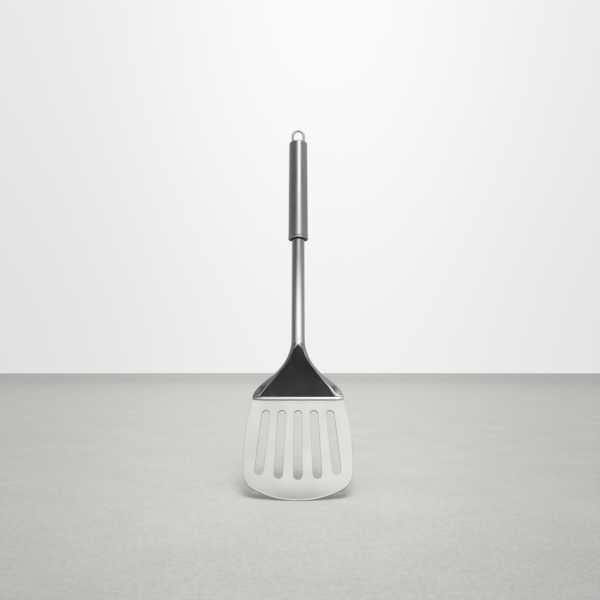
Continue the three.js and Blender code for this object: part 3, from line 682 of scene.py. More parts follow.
def shoulder_rows(neck, blade, apex, neck_rows=40, flare_rows=110, bend_rows=18, lip_rows=8):
    """Half width, height, front depth and flare share of every row, from the hidden neck end to the lip.

    The neck is a slow cone with a straight front; the flare is a cubic curve in width and height; the bend
    is an arc; the lip runs on along the blade and ends in a quarter of an ellipse.
    """
    bend_start = bend_height(neck, blade, apex)
    flare_start = apex + neck.flare_rise
    half = neck.shoulder_width / 2
    u = np.linspace(0, 1, flare_rows)[:, None]
    poles = np.array(
        [
            [neck.diameter / 2, flare_start],
            [neck.diameter / 2, flare_start - neck.neck_pull],
            [half - neck.corner_taper, bend_start + neck.corner_drop],
            [half, bend_start],
        ]
    )
    pulls = np.concatenate([(1 - u) ** 3, 3 * (1 - u) ** 2 * u, 3 * (1 - u) * u**2, u**3], axis=1)
    flare = pulls @ poles
    neck_heights = np.linspace(neck.top, flare_start, neck_rows)[:-1]
    neck_share = (neck.top - neck_heights) / (neck.top - flare_start)
    neck_half = (neck.top_diameter + (neck.diameter - neck.top_diameter) * neck_share) / 2
    upper = np.concatenate([np.stack([neck_half, neck_heights], axis=-1), flare])
    upper_front = front_depth(neck, apex, upper[:, 1])
    centre_y = upper_front[-1] - neck.bend_radius * np.cos(neck.tilt)
    centre_z = bend_start - neck.bend_radius * np.sin(neck.tilt)
    turn = np.linspace(neck.tilt, -blade.lean, bend_rows + 1)[1:]
    bend_z = centre_z + neck.bend_radius * np.sin(turn)
    bend_y = centre_y + neck.bend_radius * np.cos(turn)
    sweep = np.linspace(0, np.pi / 2, lip_rows + 1)[1:]
    lip_run = neck.lip * np.sin(sweep)
    sink = neck.lip_nose * (1 - np.cos(sweep))
    lip_z = bend_z[-1] - lip_run * np.cos(blade.lean) - sink * np.sin(blade.lean)
    lip_y = bend_y[-1] - lip_run * np.sin(blade.lean) + sink * np.cos(blade.lean)
    lip_half = half - neck.lip_corner * (1 - np.cos(sweep))
    widths = np.concatenate([upper[:, 0], np.full(len(bend_z), half), lip_half])
    heights = np.concatenate([upper[:, 1], bend_z, lip_z])
    fronts = np.concatenate([upper_front, bend_y, lip_y])
    shares = np.clip((flare_start - heights) / (flare_start - bend_start), 0, 1)
    return widths, heights, fronts, shares


def shoulder_surface(neck, apex, rows, half_steps=72):
    """Outer face of the rolled and pressed sheet.

    Across each row: a flat, an arc round the rim and a straight side wall, with steps spread by length on
    the flats and by angle round the rim, the same to both sides. The crease at the apex drops away from
    the centre line as a parabola that levels out, so the face ends in a pointed arch.
    """
    widths, heights, fronts, shares = rows
    section = (part[:, None] for part in section_numbers(neck, widths, shares))
    flat, fold, fold_turn, radius, turn, tail = section
    flat_step, turn_step = 8 * MM, 18 * DEGREE
    flat_steps, turn_steps, tail_steps = flat / flat_step, turn / turn_step, tail / flat_step
    place_across = np.linspace(-1, 1, 2 * half_steps + 1)
    step = np.abs(place_across) * (flat_steps + turn_steps + tail_steps)
    on_flat = np.minimum(step, flat_steps) * flat_step
    bent = np.clip((step - flat_steps) * turn_step, 0, turn)
    run = np.clip(step - flat_steps - turn_steps, 0, None) * flat_step
    round_rim, behind_rim = rim_bow(fold, fold_turn, radius, bent)
    x = np.sign(place_across) * (on_flat + round_rim + run * np.cos(turn))
    z = np.broadcast_to(heights[:, None], x.shape)
    fading = 1 - ease(apex - z, neck.crease_reach, 3 * neck.crease_reach)
    arch = neck.crease_reach * np.tanh(x**2 / (neck.apex_arch * neck.crease_reach)) * fading
    pointed = front_depth(neck, apex, z + arch) - front_depth(neck, apex, z)
    return np.stack([x, fronts[:, None] + pointed + behind_rim + run * np.sin(turn), z], axis=-1)


def offset_sheet(outer, thickness):
    """Inner face: every outer point moved inwards along the normal of the grid by the sheet's thickness."""
    down = np.gradient(outer, axis=0)
    across = np.gradient(outer, axis=1)
    normal = np.cross(down, across)
    normal /= np.linalg.norm(normal, axis=-1, keepdims=True)
    return outer - thickness * normal


def closed_sheet(outer, inner, bulge, steps=5):
    """Points and quads of two facing grids whose four edges are closed by half an ellipse.

    The ellipse stands out from the edge by the bulge.
    """
    rows, columns = outer.shape[:2]
    count = rows * columns
    number = np.arange(count).reshape(rows, columns)
    rim = np.concatenate([number[0, :-1], number[:-1, -1], number[-1, :0:-1], number[:0:-1, 0]])
    inside = np.concatenate([number[1, :-1], number[:-1, -2], number[-2, :0:-1], number[:0:-1, 1]])
    front, back = outer.reshape(-1, 3), inner.reshape(-1, 3)
    outward = front[rim] - front[inside]
    outward /= np.linalg.norm(outward, axis=-1, keepdims=True)
    turn = np.linspace(0, np.pi, steps + 2)[:, None, None]
    middle, half = (front[rim] + back[rim]) / 2, (front[rim] - back[rim]) / 2
    edge = middle + np.cos(turn) * half + bulge * np.sin(turn) * outward
    faces = grid_faces(rows, columns)
    edge_faces = grid_faces(steps + 2, len(rim), close_columns=True)[:, ::-1] + 2 * count
    points = np.concatenate([front, back, edge.reshape(-1, 3)])
    return points, np.concatenate([faces, faces[:, ::-1] + count, edge_faces])


class SPATULA_OT_neck_and_shoulder(bpy.types.Operator):
    """Rolls the neck and presses the shoulder from one sheet"""

    bl_idname = "spatula.neck_and_shoulder"
    bl_label = "Neck and shoulder"

    def execute(self, context):
        neck = context.scene.spatula_neck
        blade = context.scene.spatula_blade
        apex = apex_height(neck, context.scene.spatula_handle)
        outer = shoulder_surface(neck, apex, shoulder_rows(neck, blade, apex))
        inner = pressed_on(offset_sheet(outer, neck.sheet), blade_axes(neck, blade, apex), blade.gap)
        points, faces = closed_sheet(outer, inner, neck.edge)
        piece = put_mesh("neck_and_shoulder_sheet", points, faces, polished_steel(tuple(neck.polished)))
        weld(piece)
        place(piece, "neck_and_shoulder")
        return {"FINISHED"}


def pressed_on(inner, axes, gap):
    """Inner face of the shoulder with its lip pressed down on the blade.

    Within two lap gaps of the blade it goes down smoothly, to a tenth of the gap.
    """
    start, _, normal = axes
    height = (inner - start) @ normal
    reach, least = 2 * gap, 0.1 * gap
    slope = (reach - least) / (reach - gap)
    wanted = np.maximum(np.minimum(height, reach - slope * (reach - height)), least)
    return inner + (wanted - height)[..., None] * normal


def side_arc(neck, blade):
    """Radius of the blade's long side arc and the sideways place of its centre."""
    radius = (blade.belly_at**2 + blade.belly**2) / (2 * blade.belly)
    return radius, neck.shoulder_width / 2 + blade.belly - radius


def half_width_at(neck, blade, run):
    """Half width of the blade at a run down from its bend, on the long side arc."""
    radius, centre = side_arc(neck, blade)
    return centre + np.sqrt(radius**2 - (run - blade.belly_at) ** 2)


def tip_centre(blade):
    """Run of the centre of the tip's arc, down from the bend."""
    return blade.length - blade.tip_radius


def corner_centre(neck, blade):
    """Centre of the corner arc inside the side arc and the tip arc, as (sideways, run)."""
    side_radius, side_x = side_arc(neck, blade)
    side = np.array([side_x, blade.belly_at])
    tip = np.array([0.0, tip_centre(blade)])
    reach_side = side_radius - blade.corner_radius
    reach_tip = blade.tip_radius - blade.corner_radius
    span = np.linalg.norm(tip - side)
    along = (span**2 + reach_side**2 - reach_tip**2) / (2 * span)
    unit = (tip - side) / span
    aside = math.sqrt(reach_side**2 - along**2)
    return side + along * unit + aside * np.array([-unit[1], unit[0]])


def corner_turns(neck, blade):
    """Turns at which the corner arc meets the side arc and the tip arc."""
    corner_x, corner_run = corner_centre(neck, blade)
    side_turn = math.atan2(corner_run - blade.belly_at, corner_x - side_arc(neck, blade)[1])
    return side_turn, math.atan2(corner_run - tip_centre(blade), corner_x)


def outline_run(neck, blade, x):
    """Run of the blade's lower outline under a sideways place: tip arc, then corner arc."""
    corner = corner_centre(neck, blade)
    tip_run = tip_centre(blade)
    joint = corner[0] * blade.tip_radius / (blade.tip_radius - blade.corner_radius)
    on_tip = tip_run + np.sqrt(np.clip(blade.tip_radius**2 - x**2, 0, None))
    aside = np.abs(x) - corner[0]
    on_corner = corner[1] + np.sqrt(np.clip(blade.corner_radius**2 - aside**2, 0, None))
    return np.where(np.abs(x) <= joint, on_tip, on_corner)


def slot_ends(neck, blade):
    """Centres of all upper and lower slot ends as (sideways, run): a straight row above, an arc below."""
    half = blade.slot_width / 2
    top_run = blade.slot_top + half
    tip_run = blade.length - blade.slot_tip_margin - half
    fan = np.linspace(-1, 1, blade.slot_count)
    top_x = fan * (half_width_at(neck, blade, top_run) - blade.slot_top_side - half)
    tip_x = fan * (half_width_at(neck, blade, tip_run) - blade.slot_tip_side - half)
    rise = blade.slot_row_radius - np.sqrt(blade.slot_row_radius**2 - tip_x**2)
    upper = np.stack([top_x, np.full_like(top_x, top_run)], axis=-1)
    return upper, np.stack([tip_x, tip_run - rise], axis=-1)


def right_outline(neck, blade, top_run, steps=300, corner_steps=200):
    """Right half of the outline from the tip's middle up to the bend: tip arc, corner arc and side arc.

    Gives the points, the length run from the middle, and that length half way round the corner.
    """
    side_radius, side_x = side_arc(neck, blade)
    corner_x, corner_run = corner_centre(neck, blade)
    tip_run = tip_centre(blade)
    side_turn, tip_turn = (math.degrees(turn) for turn in corner_turns(neck, blade))
    top_turn = math.degrees(math.asin((top_run - blade.belly_at) / side_radius))
    tip = arc(0, tip_run, blade.tip_radius, 90, tip_turn, steps)
    corner = arc(corner_x, corner_run, blade.corner_radius, tip_turn, side_turn, corner_steps)
    side = arc(side_x, blade.belly_at, side_radius, side_turn, top_turn, steps)
    points = np.concatenate([tip, corner[1:], side[1:]])
    length_run = np.concatenate([[0], np.cumsum(np.linalg.norm(np.diff(points, axis=0), axis=1))])
    return points, length_run, length_run[len(tip) + len(corner) // 2]


def slot_curve(top, tip, width, side_steps, lower_steps, upper_steps):
    """Closed curve round a slot: down its right side, round its foot, up its left side and over its top."""
    down = (tip - top) / np.linalg.norm(tip - top)
    right = np.array([down[1], -down[0]])
    radius = width / 2
    side = np.linspace(0, 1, side_steps, endpoint=False)[:, None]
    lower_turn = np.linspace(0, np.pi, lower_steps, endpoint=False)[:, None]
    upper_turn = np.linspace(0, np.pi, upper_steps, endpoint=False)[:, None]
    return np.concatenate(
        [
            top + radius * right + side * (tip - top),
            tip + radius * (np.cos(lower_turn) * right + np.sin(lower_turn) * down),
            tip - radius * right + side * (top - tip),
            top - radius * (np.cos(upper_turn) * right + np.sin(upper_turn) * down),
        ]
    )


def share_lines(neck, blade, top_run, up, side, down):
    """Lines that share the blade out between its slots, each from the top edge to the lower outline.

    Inner lines run straight, half way between two slots; the outer ones follow the blade's sides to the
    middle of its corners. Gives the lines and the length along the outline at each line's foot.
    """
    tops, tips = slot_ends(neck, blade)
    outline, length_run, corner_length = right_outline(neck, blade, top_run)
    slope = (tips[:, 0] - tops[:, 0]) / (tips[:, 1] - tops[:, 1])
    start = tops[:, 0] - slope * tops[:, 1]
    slope, start = (slope[1:] + slope[:-1]) / 2, (start[1:] + start[:-1]) / 2
    foot = np.full_like(slope, blade.length)
    # Four rounds bring each foot onto the outline.
    for _ in range(4):
        foot = outline_run(neck, blade, start + slope * foot)
    lower = (tips[1:, 1] + tips[:-1, 1]) / 2
    upper = np.full_like(lower, tops[0, 1])
    first = np.linspace(np.full_like(lower, top_run), upper, up, endpoint=False, axis=1)
    second = np.linspace(upper, lower, side, endpoint=False, axis=1)
    runs = np.concatenate([first, second, np.linspace(lower, foot, down + 1, axis=1)], axis=1)
    inner = np.stack([start[:, None] + slope[:, None] * runs, runs], axis=-1)
    inner_feet = blade.tip_radius * np.arcsin(inner[:, -1, 0] / blade.tip_radius)
    inner[:, -1] = on_outline(outline, length_run, inner_feet)
    side_runs = np.linspace(tops[0, 1], tips[-1, 1], side + 1)
    side_lengths = np.interp(side_runs, outline[::-1, 1], length_run[::-1])
    above = np.linspace(length_run[-1], side_lengths[0], up, endpoint=False)
    below = np.linspace(side_lengths[-1], corner_length, down + 1)
    right = on_outline(outline, length_run, np.concatenate([above, side_lengths[:-1], below]))
    lines = np.concatenate([[right * [-1, 1]], inner, [right]])
    return lines, np.concatenate([[-corner_length], inner_feet, [corner_length]])


def on_outline(outline, length_run, place_along):
    """Points of the outline at lengths from the tip's middle, positive to the right."""
    x = np.interp(np.abs(place_along), length_run, outline[:, 0]) * np.sign(place_along)
    return np.stack([x, np.interp(np.abs(place_along), length_run, outline[:, 1])], axis=-1)


def blade_plan(neck, blade, top_run, up=10, side=40, down=10, along=24, rings=12):
    """Flat plan of the blade: a ring-shaped grid between each slot and its share of the outline.

    A point is slot + share * (boundary - slot), and both curves run round with the same steps. The rings
    lie closer together near both curves, where the edges are rounded.
    Gives the grids as (slot, round, outwards, 2) and the closed outline of the whole blade.
    """
    lines, feet = share_lines(neck, blade, top_run, up, side, down)
    outline, length_run, _ = right_outline(neck, blade, top_run)
    foot = up + side + down
    rounded = blade.edge * (1 - np.cos(np.linspace(0, np.pi / 2, 5)))
    spacing = ease(np.linspace(0, 1, rings), 0, 1)[1:-1]
    grids, upper_edges, lower_edges = [], [], []
    for number, (top, tip) in enumerate(zip(*slot_ends(neck, blade))):
        left, right = lines[number], lines[number + 1]
        upper_edge = np.linspace(left[0], right[0], along, endpoint=False)
        lower_edge = on_outline(
            outline, length_run, np.linspace(feet[number + 1], feet[number], along, endpoint=False)
        )
        boundary = np.concatenate([right[up:foot], lower_edge, left[foot:0:-1], upper_edge, right[:up]])
        slot = slot_curve(top, tip, blade.slot_width, side, along + 2 * down, along + 2 * up)
        span = np.linalg.norm(boundary - slot, axis=-1)[:, None]
        near_slot = np.broadcast_to(rounded, (len(span), len(rounded)))
        between = blade.edge + (span - 2 * blade.edge) * spacing
        share_out = np.concatenate([near_slot, between, span - rounded[::-1]], axis=1) / span
        grids.append(slot[:, None] + share_out[..., None] * (boundary - slot)[:, None])
        upper_edges.append(upper_edge)
        lower_edges.append(lower_edge)
    whole = np.concatenate([lines[-1][:-1], *lower_edges[::-1], lines[0][:0:-1], *upper_edges])
    return np.stack(grids), whole


def blade_bend(neck, blade):
    """Inner radius of the blade's bend, which lies round the shoulder's."""
    return neck.bend_radius + neck.sheet + blade.gap


def blade_axes(neck, blade, apex):
    """Corner of the blade's bend, the way up the blade and its front normal."""
    corner = apex - neck.shoulder_height
    start = np.array([0, float(front_depth(neck, apex, corner)), corner])
    face = np.array([0, -math.cos(neck.tilt), -math.sin(neck.tilt)])
    normal = np.array([0, -math.cos(blade.lean), math.sin(blade.lean)])
    step = (neck.sheet + blade.gap) / (1 + face @ normal)
    up = np.array([0, math.sin(blade.lean), math.cos(blade.lean)])
    return start - step * (face + normal), up, normal


def on_blade(axes, x, run, height):
    """Point of the blade's frame in the spatula's frame."""
    start, up, normal = axes
    across = np.array([1.0, 0.0, 0.0])
    return start + x[..., None] * across - run[..., None] * up + height[..., None] * normal


def edge_distance(neck, blade, plan):
    """Distance of plan points inside the blade's outline: from its corner, side or tip arc."""
    x, run = np.abs(plan[..., 0]), plan[..., 1]
    side_radius, side_x = side_arc(neck, blade)
    corner_x, corner_run = corner_centre(neck, blade)
    tip_run = tip_centre(blade)
    from_side = side_radius - np.hypot(x - side_x, run - blade.belly_at)
    from_tip = blade.tip_radius - np.hypot(x, run - tip_run)
    from_corner = blade.corner_radius - np.hypot(x - corner_x, run - corner_run)
    bearing = np.arctan2(run - corner_run, x - corner_x)
    side_bearing, tip_bearing = corner_turns(neck, blade)
    in_corner = (bearing > side_bearing) & (bearing < tip_bearing)
    return np.clip(np.where(in_corner, from_corner, np.minimum(from_side, from_tip)), 0, None)


def ground_share(blade, plan):
    """How far the tip is ground at plan points: squared from 0 at the grind's width to 1 at the tip's arc.

    It fades to a fifth of that towards the corners.
    """
    tip_run = tip_centre(blade)
    from_tip = blade.tip_radius - np.hypot(plan[..., 0], plan[..., 1] - tip_run)
    ahead = plan[..., 1] > tip_run + blade.tip_radius / 2
    fade_start, fade_end, faded = 0.1 * blade.tip_radius, 0.425 * blade.tip_radius, 0.2
    sideways = 1 - (1 - faded) * ease(np.abs(plan[..., 0]), fade_start, fade_end)
    return np.where(ahead, sideways * np.clip(1 - from_tip / blade.grind_width, 0, 1) ** 2, 0)


def plate_arrays(neck, blade, axes, top_run):
    """Points, quads, painted tip shade and edge marks of the slotted plate: front, back and walls.

    The front drops towards the tip by the depth of the grind times its share, and rolls over in a quarter
    circle along the outline and round every slot. The edge marks are the cut edges, which take a dark
    painted shade: every wall but the one under the shoulder's lip, with the rolled edge next to it.
    """
    grids, whole = blade_plan(neck, blade, top_run)
    slots, around, rings = grids.shape[:3]
    from_slot = np.linalg.norm(grids - grids[:, :, :1], axis=-1)

    def layers(plan, from_edge):
        share = ground_share(blade, plan)
        near_edge = np.clip(blade.edge - from_edge, 0, None)
        rolled = blade.edge - np.sqrt(blade.edge**2 - near_edge**2)
        front = on_blade(axes, plan[..., 0], plan[..., 1], -blade.grind_depth * share - rolled)
        back = on_blade(axes, plan[..., 0], plan[..., 1], np.full(plan.shape[:-1], -blade.sheet))
        # The painted shade leaves out about the last millimetre, so the edge keeps its plain colour there.
        unshaded_edge, full_shade_from = 3 * blade.edge, 8 * blade.edge
        tip_shade = share * ease(from_edge, unshaded_edge, full_shade_from)
        return front.reshape(-1, 3), back.reshape(-1, 3), tip_shade.ravel()

    from_outline = edge_distance(neck, blade, grids)
    front, back, tip_shade = layers(grids, np.minimum(from_slot, from_outline))
    rim_front, rim_back, rim_tip_shade = layers(whole, edge_distance(neck, blade, whole))
    cell = grid_faces(around, rings, close_rows=True)
    count = len(front)
    first = (np.arange(slots) * around * rings)[:, None]
    faces = (cell + first[..., None]).reshape(-1, 4)
    ring = np.arange(around) * rings + first
    after = np.roll(ring, -1, axis=1)
    slot_wall = np.stack([ring, ring + count, after + count, after], axis=-1).reshape(-1, 4)
    edge = 2 * count + np.arange(len(whole))
    edge_after = np.roll(edge, -1)
    outer_wall = np.stack([edge, edge_after, edge_after + len(whole), edge + len(whole)], axis=-1)
    points = np.concatenate([front, back, rim_front, rim_back])
    every = np.concatenate([faces, faces[:, ::-1] + count, slot_wall, outer_wall])
    ground = np.concatenate([tip_shade, np.zeros(count), rim_tip_shade, np.zeros(len(whole))])
    # Where the tip is ground, the rolled edge keeps the satin finish and none of the cut edges' painted
    # shade.
    bright_share, rolled_part = 0.35, 0.8
    side_edge = np.where(ground_share(blade, grids) > bright_share, blade.edge, from_outline)
    from_cut = np.minimum(from_slot, side_edge).reshape(-1)[faces].mean(axis=1)
    on_edge = from_cut < rolled_part * blade.edge
    on_back = np.zeros(len(faces), dtype=bool)
    on_slot = np.ones(len(slot_wall), dtype=bool)
    below_lip = whole[:, 1] > top_run + blade.edge
    return points, every, ground, np.concatenate([on_edge, on_back, on_slot, below_lip])


def flange_arrays(neck, blade, axes, apex, top_run, across_steps=24, steps=12):
    """Points and quads of the bent flange: an arc and a straight, carried across, narrowing upwards."""
    bend = neck.tilt + blade.lean
    inner = blade_bend(neck, blade)
    widths, heights, _, shares = shoulder_rows(neck, blade, apex)
    flat = section_numbers(neck, widths, shares)[0] - blade.flange_margin
    bend_start = bend_height(neck, blade, apex)
    base = float(np.interp(-bend_start, -heights, flat))
    top = float(np.interp(-bend_start - blade.flange_height, -heights, flat))
    turn = np.concatenate([np.full(steps, bend), np.linspace(bend, 0, steps), [0]])
    rise = np.concatenate([np.linspace(blade.flange_height, 0, steps), np.zeros(steps + 1)])
    sink = np.concatenate([np.zeros(2 * steps), [blade.sheet]])
    half = base + (top - base) * rise / blade.flange_height
    x = half[:, None] * np.linspace(-1, 1, across_steps)

    def layer(radius):
        up = -top_run + radius * np.sin(turn) + rise * np.cos(bend) - sink
        height = inner - radius * np.cos(turn) + rise * np.sin(bend)
        return on_blade(axes, *np.broadcast_arrays(x, -up[:, None], height[:, None]))

    return closed_sheet(layer(inner), layer(inner + blade.sheet), blade.edge)


class SPATULA_OT_blade(bpy.types.Operator):
    """Cuts, bends and grinds the slotted blade"""

    bl_idname = "spatula.blade"
    bl_label = "Slotted blade"

    def execute(self, context):
        neck = context.scene.spatula_neck
        blade = context.scene.spatula_blade
        apex = apex_height(neck, context.scene.spatula_handle)
        axes = blade_axes(neck, blade, apex)
        top_run = blade_bend(neck, blade) * math.tan((neck.tilt + blade.lean) / 2)
        plate, plate_faces, ground, cut = plate_arrays(neck, blade, axes, top_run)
        flange, flange_faces = flange_arrays(neck, blade, axes, apex, top_run)
        points = np.concatenate([plate, flange])
        faces = np.concatenate([plate_faces, flange_faces + len(plate)])
        satin = satin_sheet_steel(tuple(blade.satin), tuple(blade.ground))
        piece = put_mesh("slotted_blade_sheet", points, faces, satin)
        piece.data.materials.append(sheared_steel_painted_shade())
        # The cut edges take the second material, dark with painted shade.
        second = np.concatenate([cut, np.zeros(len(flange_faces), dtype=bool)])
        piece.data.polygons.foreach_set("material_index", second.astype(np.int32))
        # Painted shade: the ground attribute darkens the blade's colour towards the tip.
        scratches = piece.data.attributes.new("ground", "FLOAT", "POINT")
        scratches.data.foreach_set("value", np.concatenate([ground, np.zeros(len(flange))]))
        weld(piece)
        place(piece, "slotted_blade")
        return {"FINISHED"}


def honed_floor(studio):
    """Pale honed cement, dusty and fully matt: faint clouds and a fine speckle.

    Painted shade darkens it a little to both sides, far away and close to the camera's place, in the shape
    of a patch of light.
    """
    material = bpy.data.materials.new("cement_pale_honed")
    tree = new_tree(material)
    clouds = grain(tree, (60 * MM, 40 * MM, 40 * MM), 6.0)
    speckle = grain(tree, (2.5 * MM, 2.5 * MM, 2.5 * MM))
    mottle = add_node(tree, "ShaderNodeMix", None, {0: 0.65, 2: clouds, 3: speckle})
    tone = add_node(tree, RAMP, None, {"Value": mottle, **limits(0.38, 0.62, 0.88, 1.0)})
    # Painted shade: from here the colour darkens by bearing and distance from the camera's place at rest.
    place_on = add_node(tree, "ShaderNodeTexCoord").outputs["Object"]
    stand = (studio.camera_side, -studio.camera_back, CAD_BOX[0][2])
    away = add_node(tree, VECTOR_MATHS, {"operation": "SUBTRACT"}, {0: place_on, 1: stand})
    axes = add_node(tree, "ShaderNodeSeparateXYZ", None, {0: away}).outputs
    turn = add_node(tree, MATHS, {"operation": "ARCTAN2"}, {0: axes["X"], 1: axes["Y"]})
    aside = add_node(tree, MATHS, {"operation": "ABSOLUTE"}, {0: turn})
    distance = add_node(tree, VECTOR_MATHS, {"operation": "LENGTH"}, {0: away}).outputs["Value"]
    side_shade = 0.76
    edges = limits(6 * DEGREE, 40 * DEGREE, 1.0, side_shade)
    painted_side_shade = add_node(tree, RAMP, SOFT, {"Value": aside, **edges})
    sides = add_node(tree, RAMP, SOFT, {"Value": distance, **limits(0.03, 0.19, side_shade, painted_side_shade)})
    depth = add_node(tree, RAMP, SOFT, {"Value": distance, **limits(1.0, 6.0, 1.0, 0.83)})
    near = add_node(tree, RAMP, SOFT, {"Value": distance, **limits(0.18, 0.4, 0.88, 1.0)})
    # The grain's tone times the painted shade to the sides, far away and near the camera.
    grain_and_painted_shade = tone
    for part in (sides, depth, near):
        grain_and_painted_shade = add_node(tree, MATHS, {"operation": "MULTIPLY"}, {0: grain_and_painted_shade, 1: part})
    floor = tuple(studio.floor)[:3]
    shade = add_node(tree, VECTOR_MATHS, {"operation": "SCALE"}, {0: floor, "Scale": grain_and_painted_shade})
    bump = add_node(tree, "ShaderNodeBump", None, {"Height": speckle, "Distance": 0.05 * MM})
    matt = {"Roughness": 1.0, "Specular IOR Level": 0.0}
    return surfaced(material, {**matt, "Base Color": shade, "Normal": bump})


def floor_grid(reach, height, rings=60, facets=96):
    """Disc whose rings grow in width from the middle to the edge."""
    radius = reach * np.linspace(0, 1, rings)[:, None] ** 3
    turn = np.linspace(0, 2 * np.pi, facets, endpoint=False)
    return np.stack(np.broadcast_arrays(radius * np.cos(turn), radius * np.sin(turn), height), axis=-1)


def studio_world(studio):
    """World of a plain studio, by the compass turn from the camera's side and the height above level.

    A wide window of soft light stands low behind the camera. Grey sides and a pale wall close the ring, a
    soft ceiling lies over its front half, and a strip lamp hangs high in front. The camera sees the pale
    wall alone, and so does polished steel that looks back at it.
    """
    world = bpy.data.worlds.new("studio")
    tree = new_tree(world)
    toward = add_node(tree, "ShaderNodeTexCoord").outputs["Generated"]
    axes = add_node(tree, "ShaderNodeSeparateXYZ", None, {0: toward}).outputs
    ahead = add_node(tree, MATHS, {"operation": "MULTIPLY"}, {0: axes["Y"], 1: -1.0})
    turn = add_node(tree, MATHS, {"operation": "ARCTAN2"}, {0: axes["X"], 1: ahead})
    around = add_node(tree, MATHS, {"operation": "ABSOLUTE"}, {0: turn})
    height = add_node(tree, MATHS, {"operation": "ARCSINE"}, {0: axes["Z"]})
    # Grey sides, dim above the window and paler again higher up, which run into the pale wall at the back.
    edges = limits(-40 * DEGREE, 40 * DEGREE, studio.left_light, studio.right_light)
    sides = add_node(tree, RAMP, SOFT, {"Value": turn, **edges})
    faded = add_node(tree, RAMP, SOFT, {"Value": around, **limits(45 * DEGREE, 80 * DEGREE, 0.2, 0.8)})
    edges = limits(8 * DEGREE, 24 * DEGREE, 1.0, faded)
    dimming = add_node(tree, RAMP, SOFT, {"Value": height, **edges})
    edges = limits(22 * DEGREE, 34 * DEGREE, dimming, 1.15)
    brightening = add_node(tree, RAMP, SOFT, {"Value": height, **edges})
    dimmed = add_node(tree, MATHS, {"operation": "MULTIPLY"}, {0: sides, 1: brightening})
    edges = limits(-40 * DEGREE, 40 * DEGREE, studio.wall_left, studio.wall_right)
    wall_start = add_node(tree, RAMP, SOFT, {"Value": turn, **edges})
    edges = limits(wall_start, 172 * DEGREE, dimmed, studio.wall_light)
    ring = add_node(tree, RAMP, SOFT, {"Value": around, **edges})
    # The low window, narrower and weaker towards its top.
    off_turn = add_node(tree, MATHS, {"operation": "SUBTRACT"}, {0: turn, 1: studio.window_turn})
    off_window = add_node(tree, MATHS, {"operation": "ABSOLUTE"}, {0: off_turn})
    edges = limits(4 * DEGREE, 20 * DEGREE, studio.window_spread, 0.6 * studio.window_spread)
    reach = add_node(tree, RAMP, SOFT, {"Value": height, **edges})
    edges = limits(7 * DEGREE, 18 * DEGREE, studio.window_light, 0.4 * studio.window_light)
    pane = add_node(tree, RAMP, SOFT, {"Value": height, **edges})
    low = add_node(tree, RAMP, SOFT, {"Value": off_window, **limits(6 * DEGREE, reach, pane, ring)})
    # The ceiling, brighter in front than behind, with an edge that lies higher at the sides.
    edges = limits(-0.3, 0.4, studio.ceiling_light, studio.ceiling_back)
    ceiling = add_node(tree, RAMP, SOFT, {"Value": axes["Y"], **edges})
    low_edge, high_edge = 34 * DEGREE, 48 * DEGREE
    edges = limits(-60 * DEGREE, -20 * DEGREE, high_edge, low_edge)
    left_eaves = add_node(tree, RAMP, SOFT, {"Value": turn, **edges})
    edges = limits(50 * DEGREE, 90 * DEGREE, low_edge, high_edge)
    right_eaves = add_node(tree, RAMP, SOFT, {"Value": turn, **edges})
    eaves = add_node(tree, MATHS, {"operation": "MAXIMUM"}, {0: left_eaves, 1: right_eaves})
    inside = add_node(tree, MATHS, {"operation": "ADD"}, {0: eaves, 1: 24 * DEGREE})
    upper = add_node(tree, RAMP, SOFT, {"Value": height, **limits(eaves, inside, low, ceiling)})
    # The strip lamp, with soft edges all round.
    edges = limits(15 * DEGREE, 24 * DEGREE, 0.0, studio.lamp_light)
    lamp_foot = add_node(tree, RAMP, SOFT, {"Value": height, **edges})
    edges = limits(36 * DEGREE, 48 * DEGREE, lamp_foot, 0.0)
    lamp_rise = add_node(tree, RAMP, SOFT, {"Value": height, **edges})
    edges = limits(5 * DEGREE, studio.lamp_spread, lamp_rise, 0.0)
    lamp = add_node(tree, RAMP, SOFT, {"Value": off_window, **edges})
    lit = add_node(tree, MATHS, {"operation": "ADD"}, {0: upper, 1: lamp})
    glow = add_node(tree, "ShaderNodeBackground", None, {"Color": lit})
    # The pale wall as the camera sees it, with painted shade: a little darker to the sides and low down.
    back = add_node(tree, MATHS, {"operation": "ARCTAN2"}, {0: axes["X"], 1: axes["Y"]})
    off_middle = add_node(tree, MATHS, {"operation": "SUBTRACT"}, {0: back, 1: 4 * DEGREE})
    aside = add_node(tree, MATHS, {"operation": "ABSOLUTE"}, {0: off_middle})
    rise = add_node(tree, RAMP, SOFT, {"Value": height, **limits(-4 * DEGREE, 46 * DEGREE, 0.96, 1.06)})
    side_rise = add_node(tree, MATHS, {"operation": "MULTIPLY"}, {0: rise, 1: 0.85})
    edges = limits(2 * DEGREE, 45 * DEGREE, rise, side_rise)
    strength = add_node(tree, RAMP, SOFT, {"Value": aside, **edges})
    paint = {"Color": tuple(studio.backdrop), "Strength": strength}
    wall = add_node(tree, "ShaderNodeBackground", None, paint)
    # Mirror and glass rays see it where they look back at it.
    path = add_node(tree, "ShaderNodeLightPath").outputs
    rays = {0: path["Is Glossy Ray"], 1: path["Is Transmission Ray"]}
    mirrored = add_node(tree, MATHS, {"operation": "MAXIMUM"}, rays)
    edges = limits(135 * DEGREE, 170 * DEGREE, 0.0, mirrored)
    behind = add_node(tree, RAMP, SOFT, {"Value": around, **edges})
    seen = add_node(tree, MATHS, {"operation": "MAXIMUM"}, {0: path["Is Camera Ray"], 1: behind})
    shown = add_node(tree, "ShaderNodeMixShader", None, {0: seen, 1: glow, 2: wall})
    add_node(tree, "ShaderNodeOutputWorld", None, {"Surface": shown})
    return world


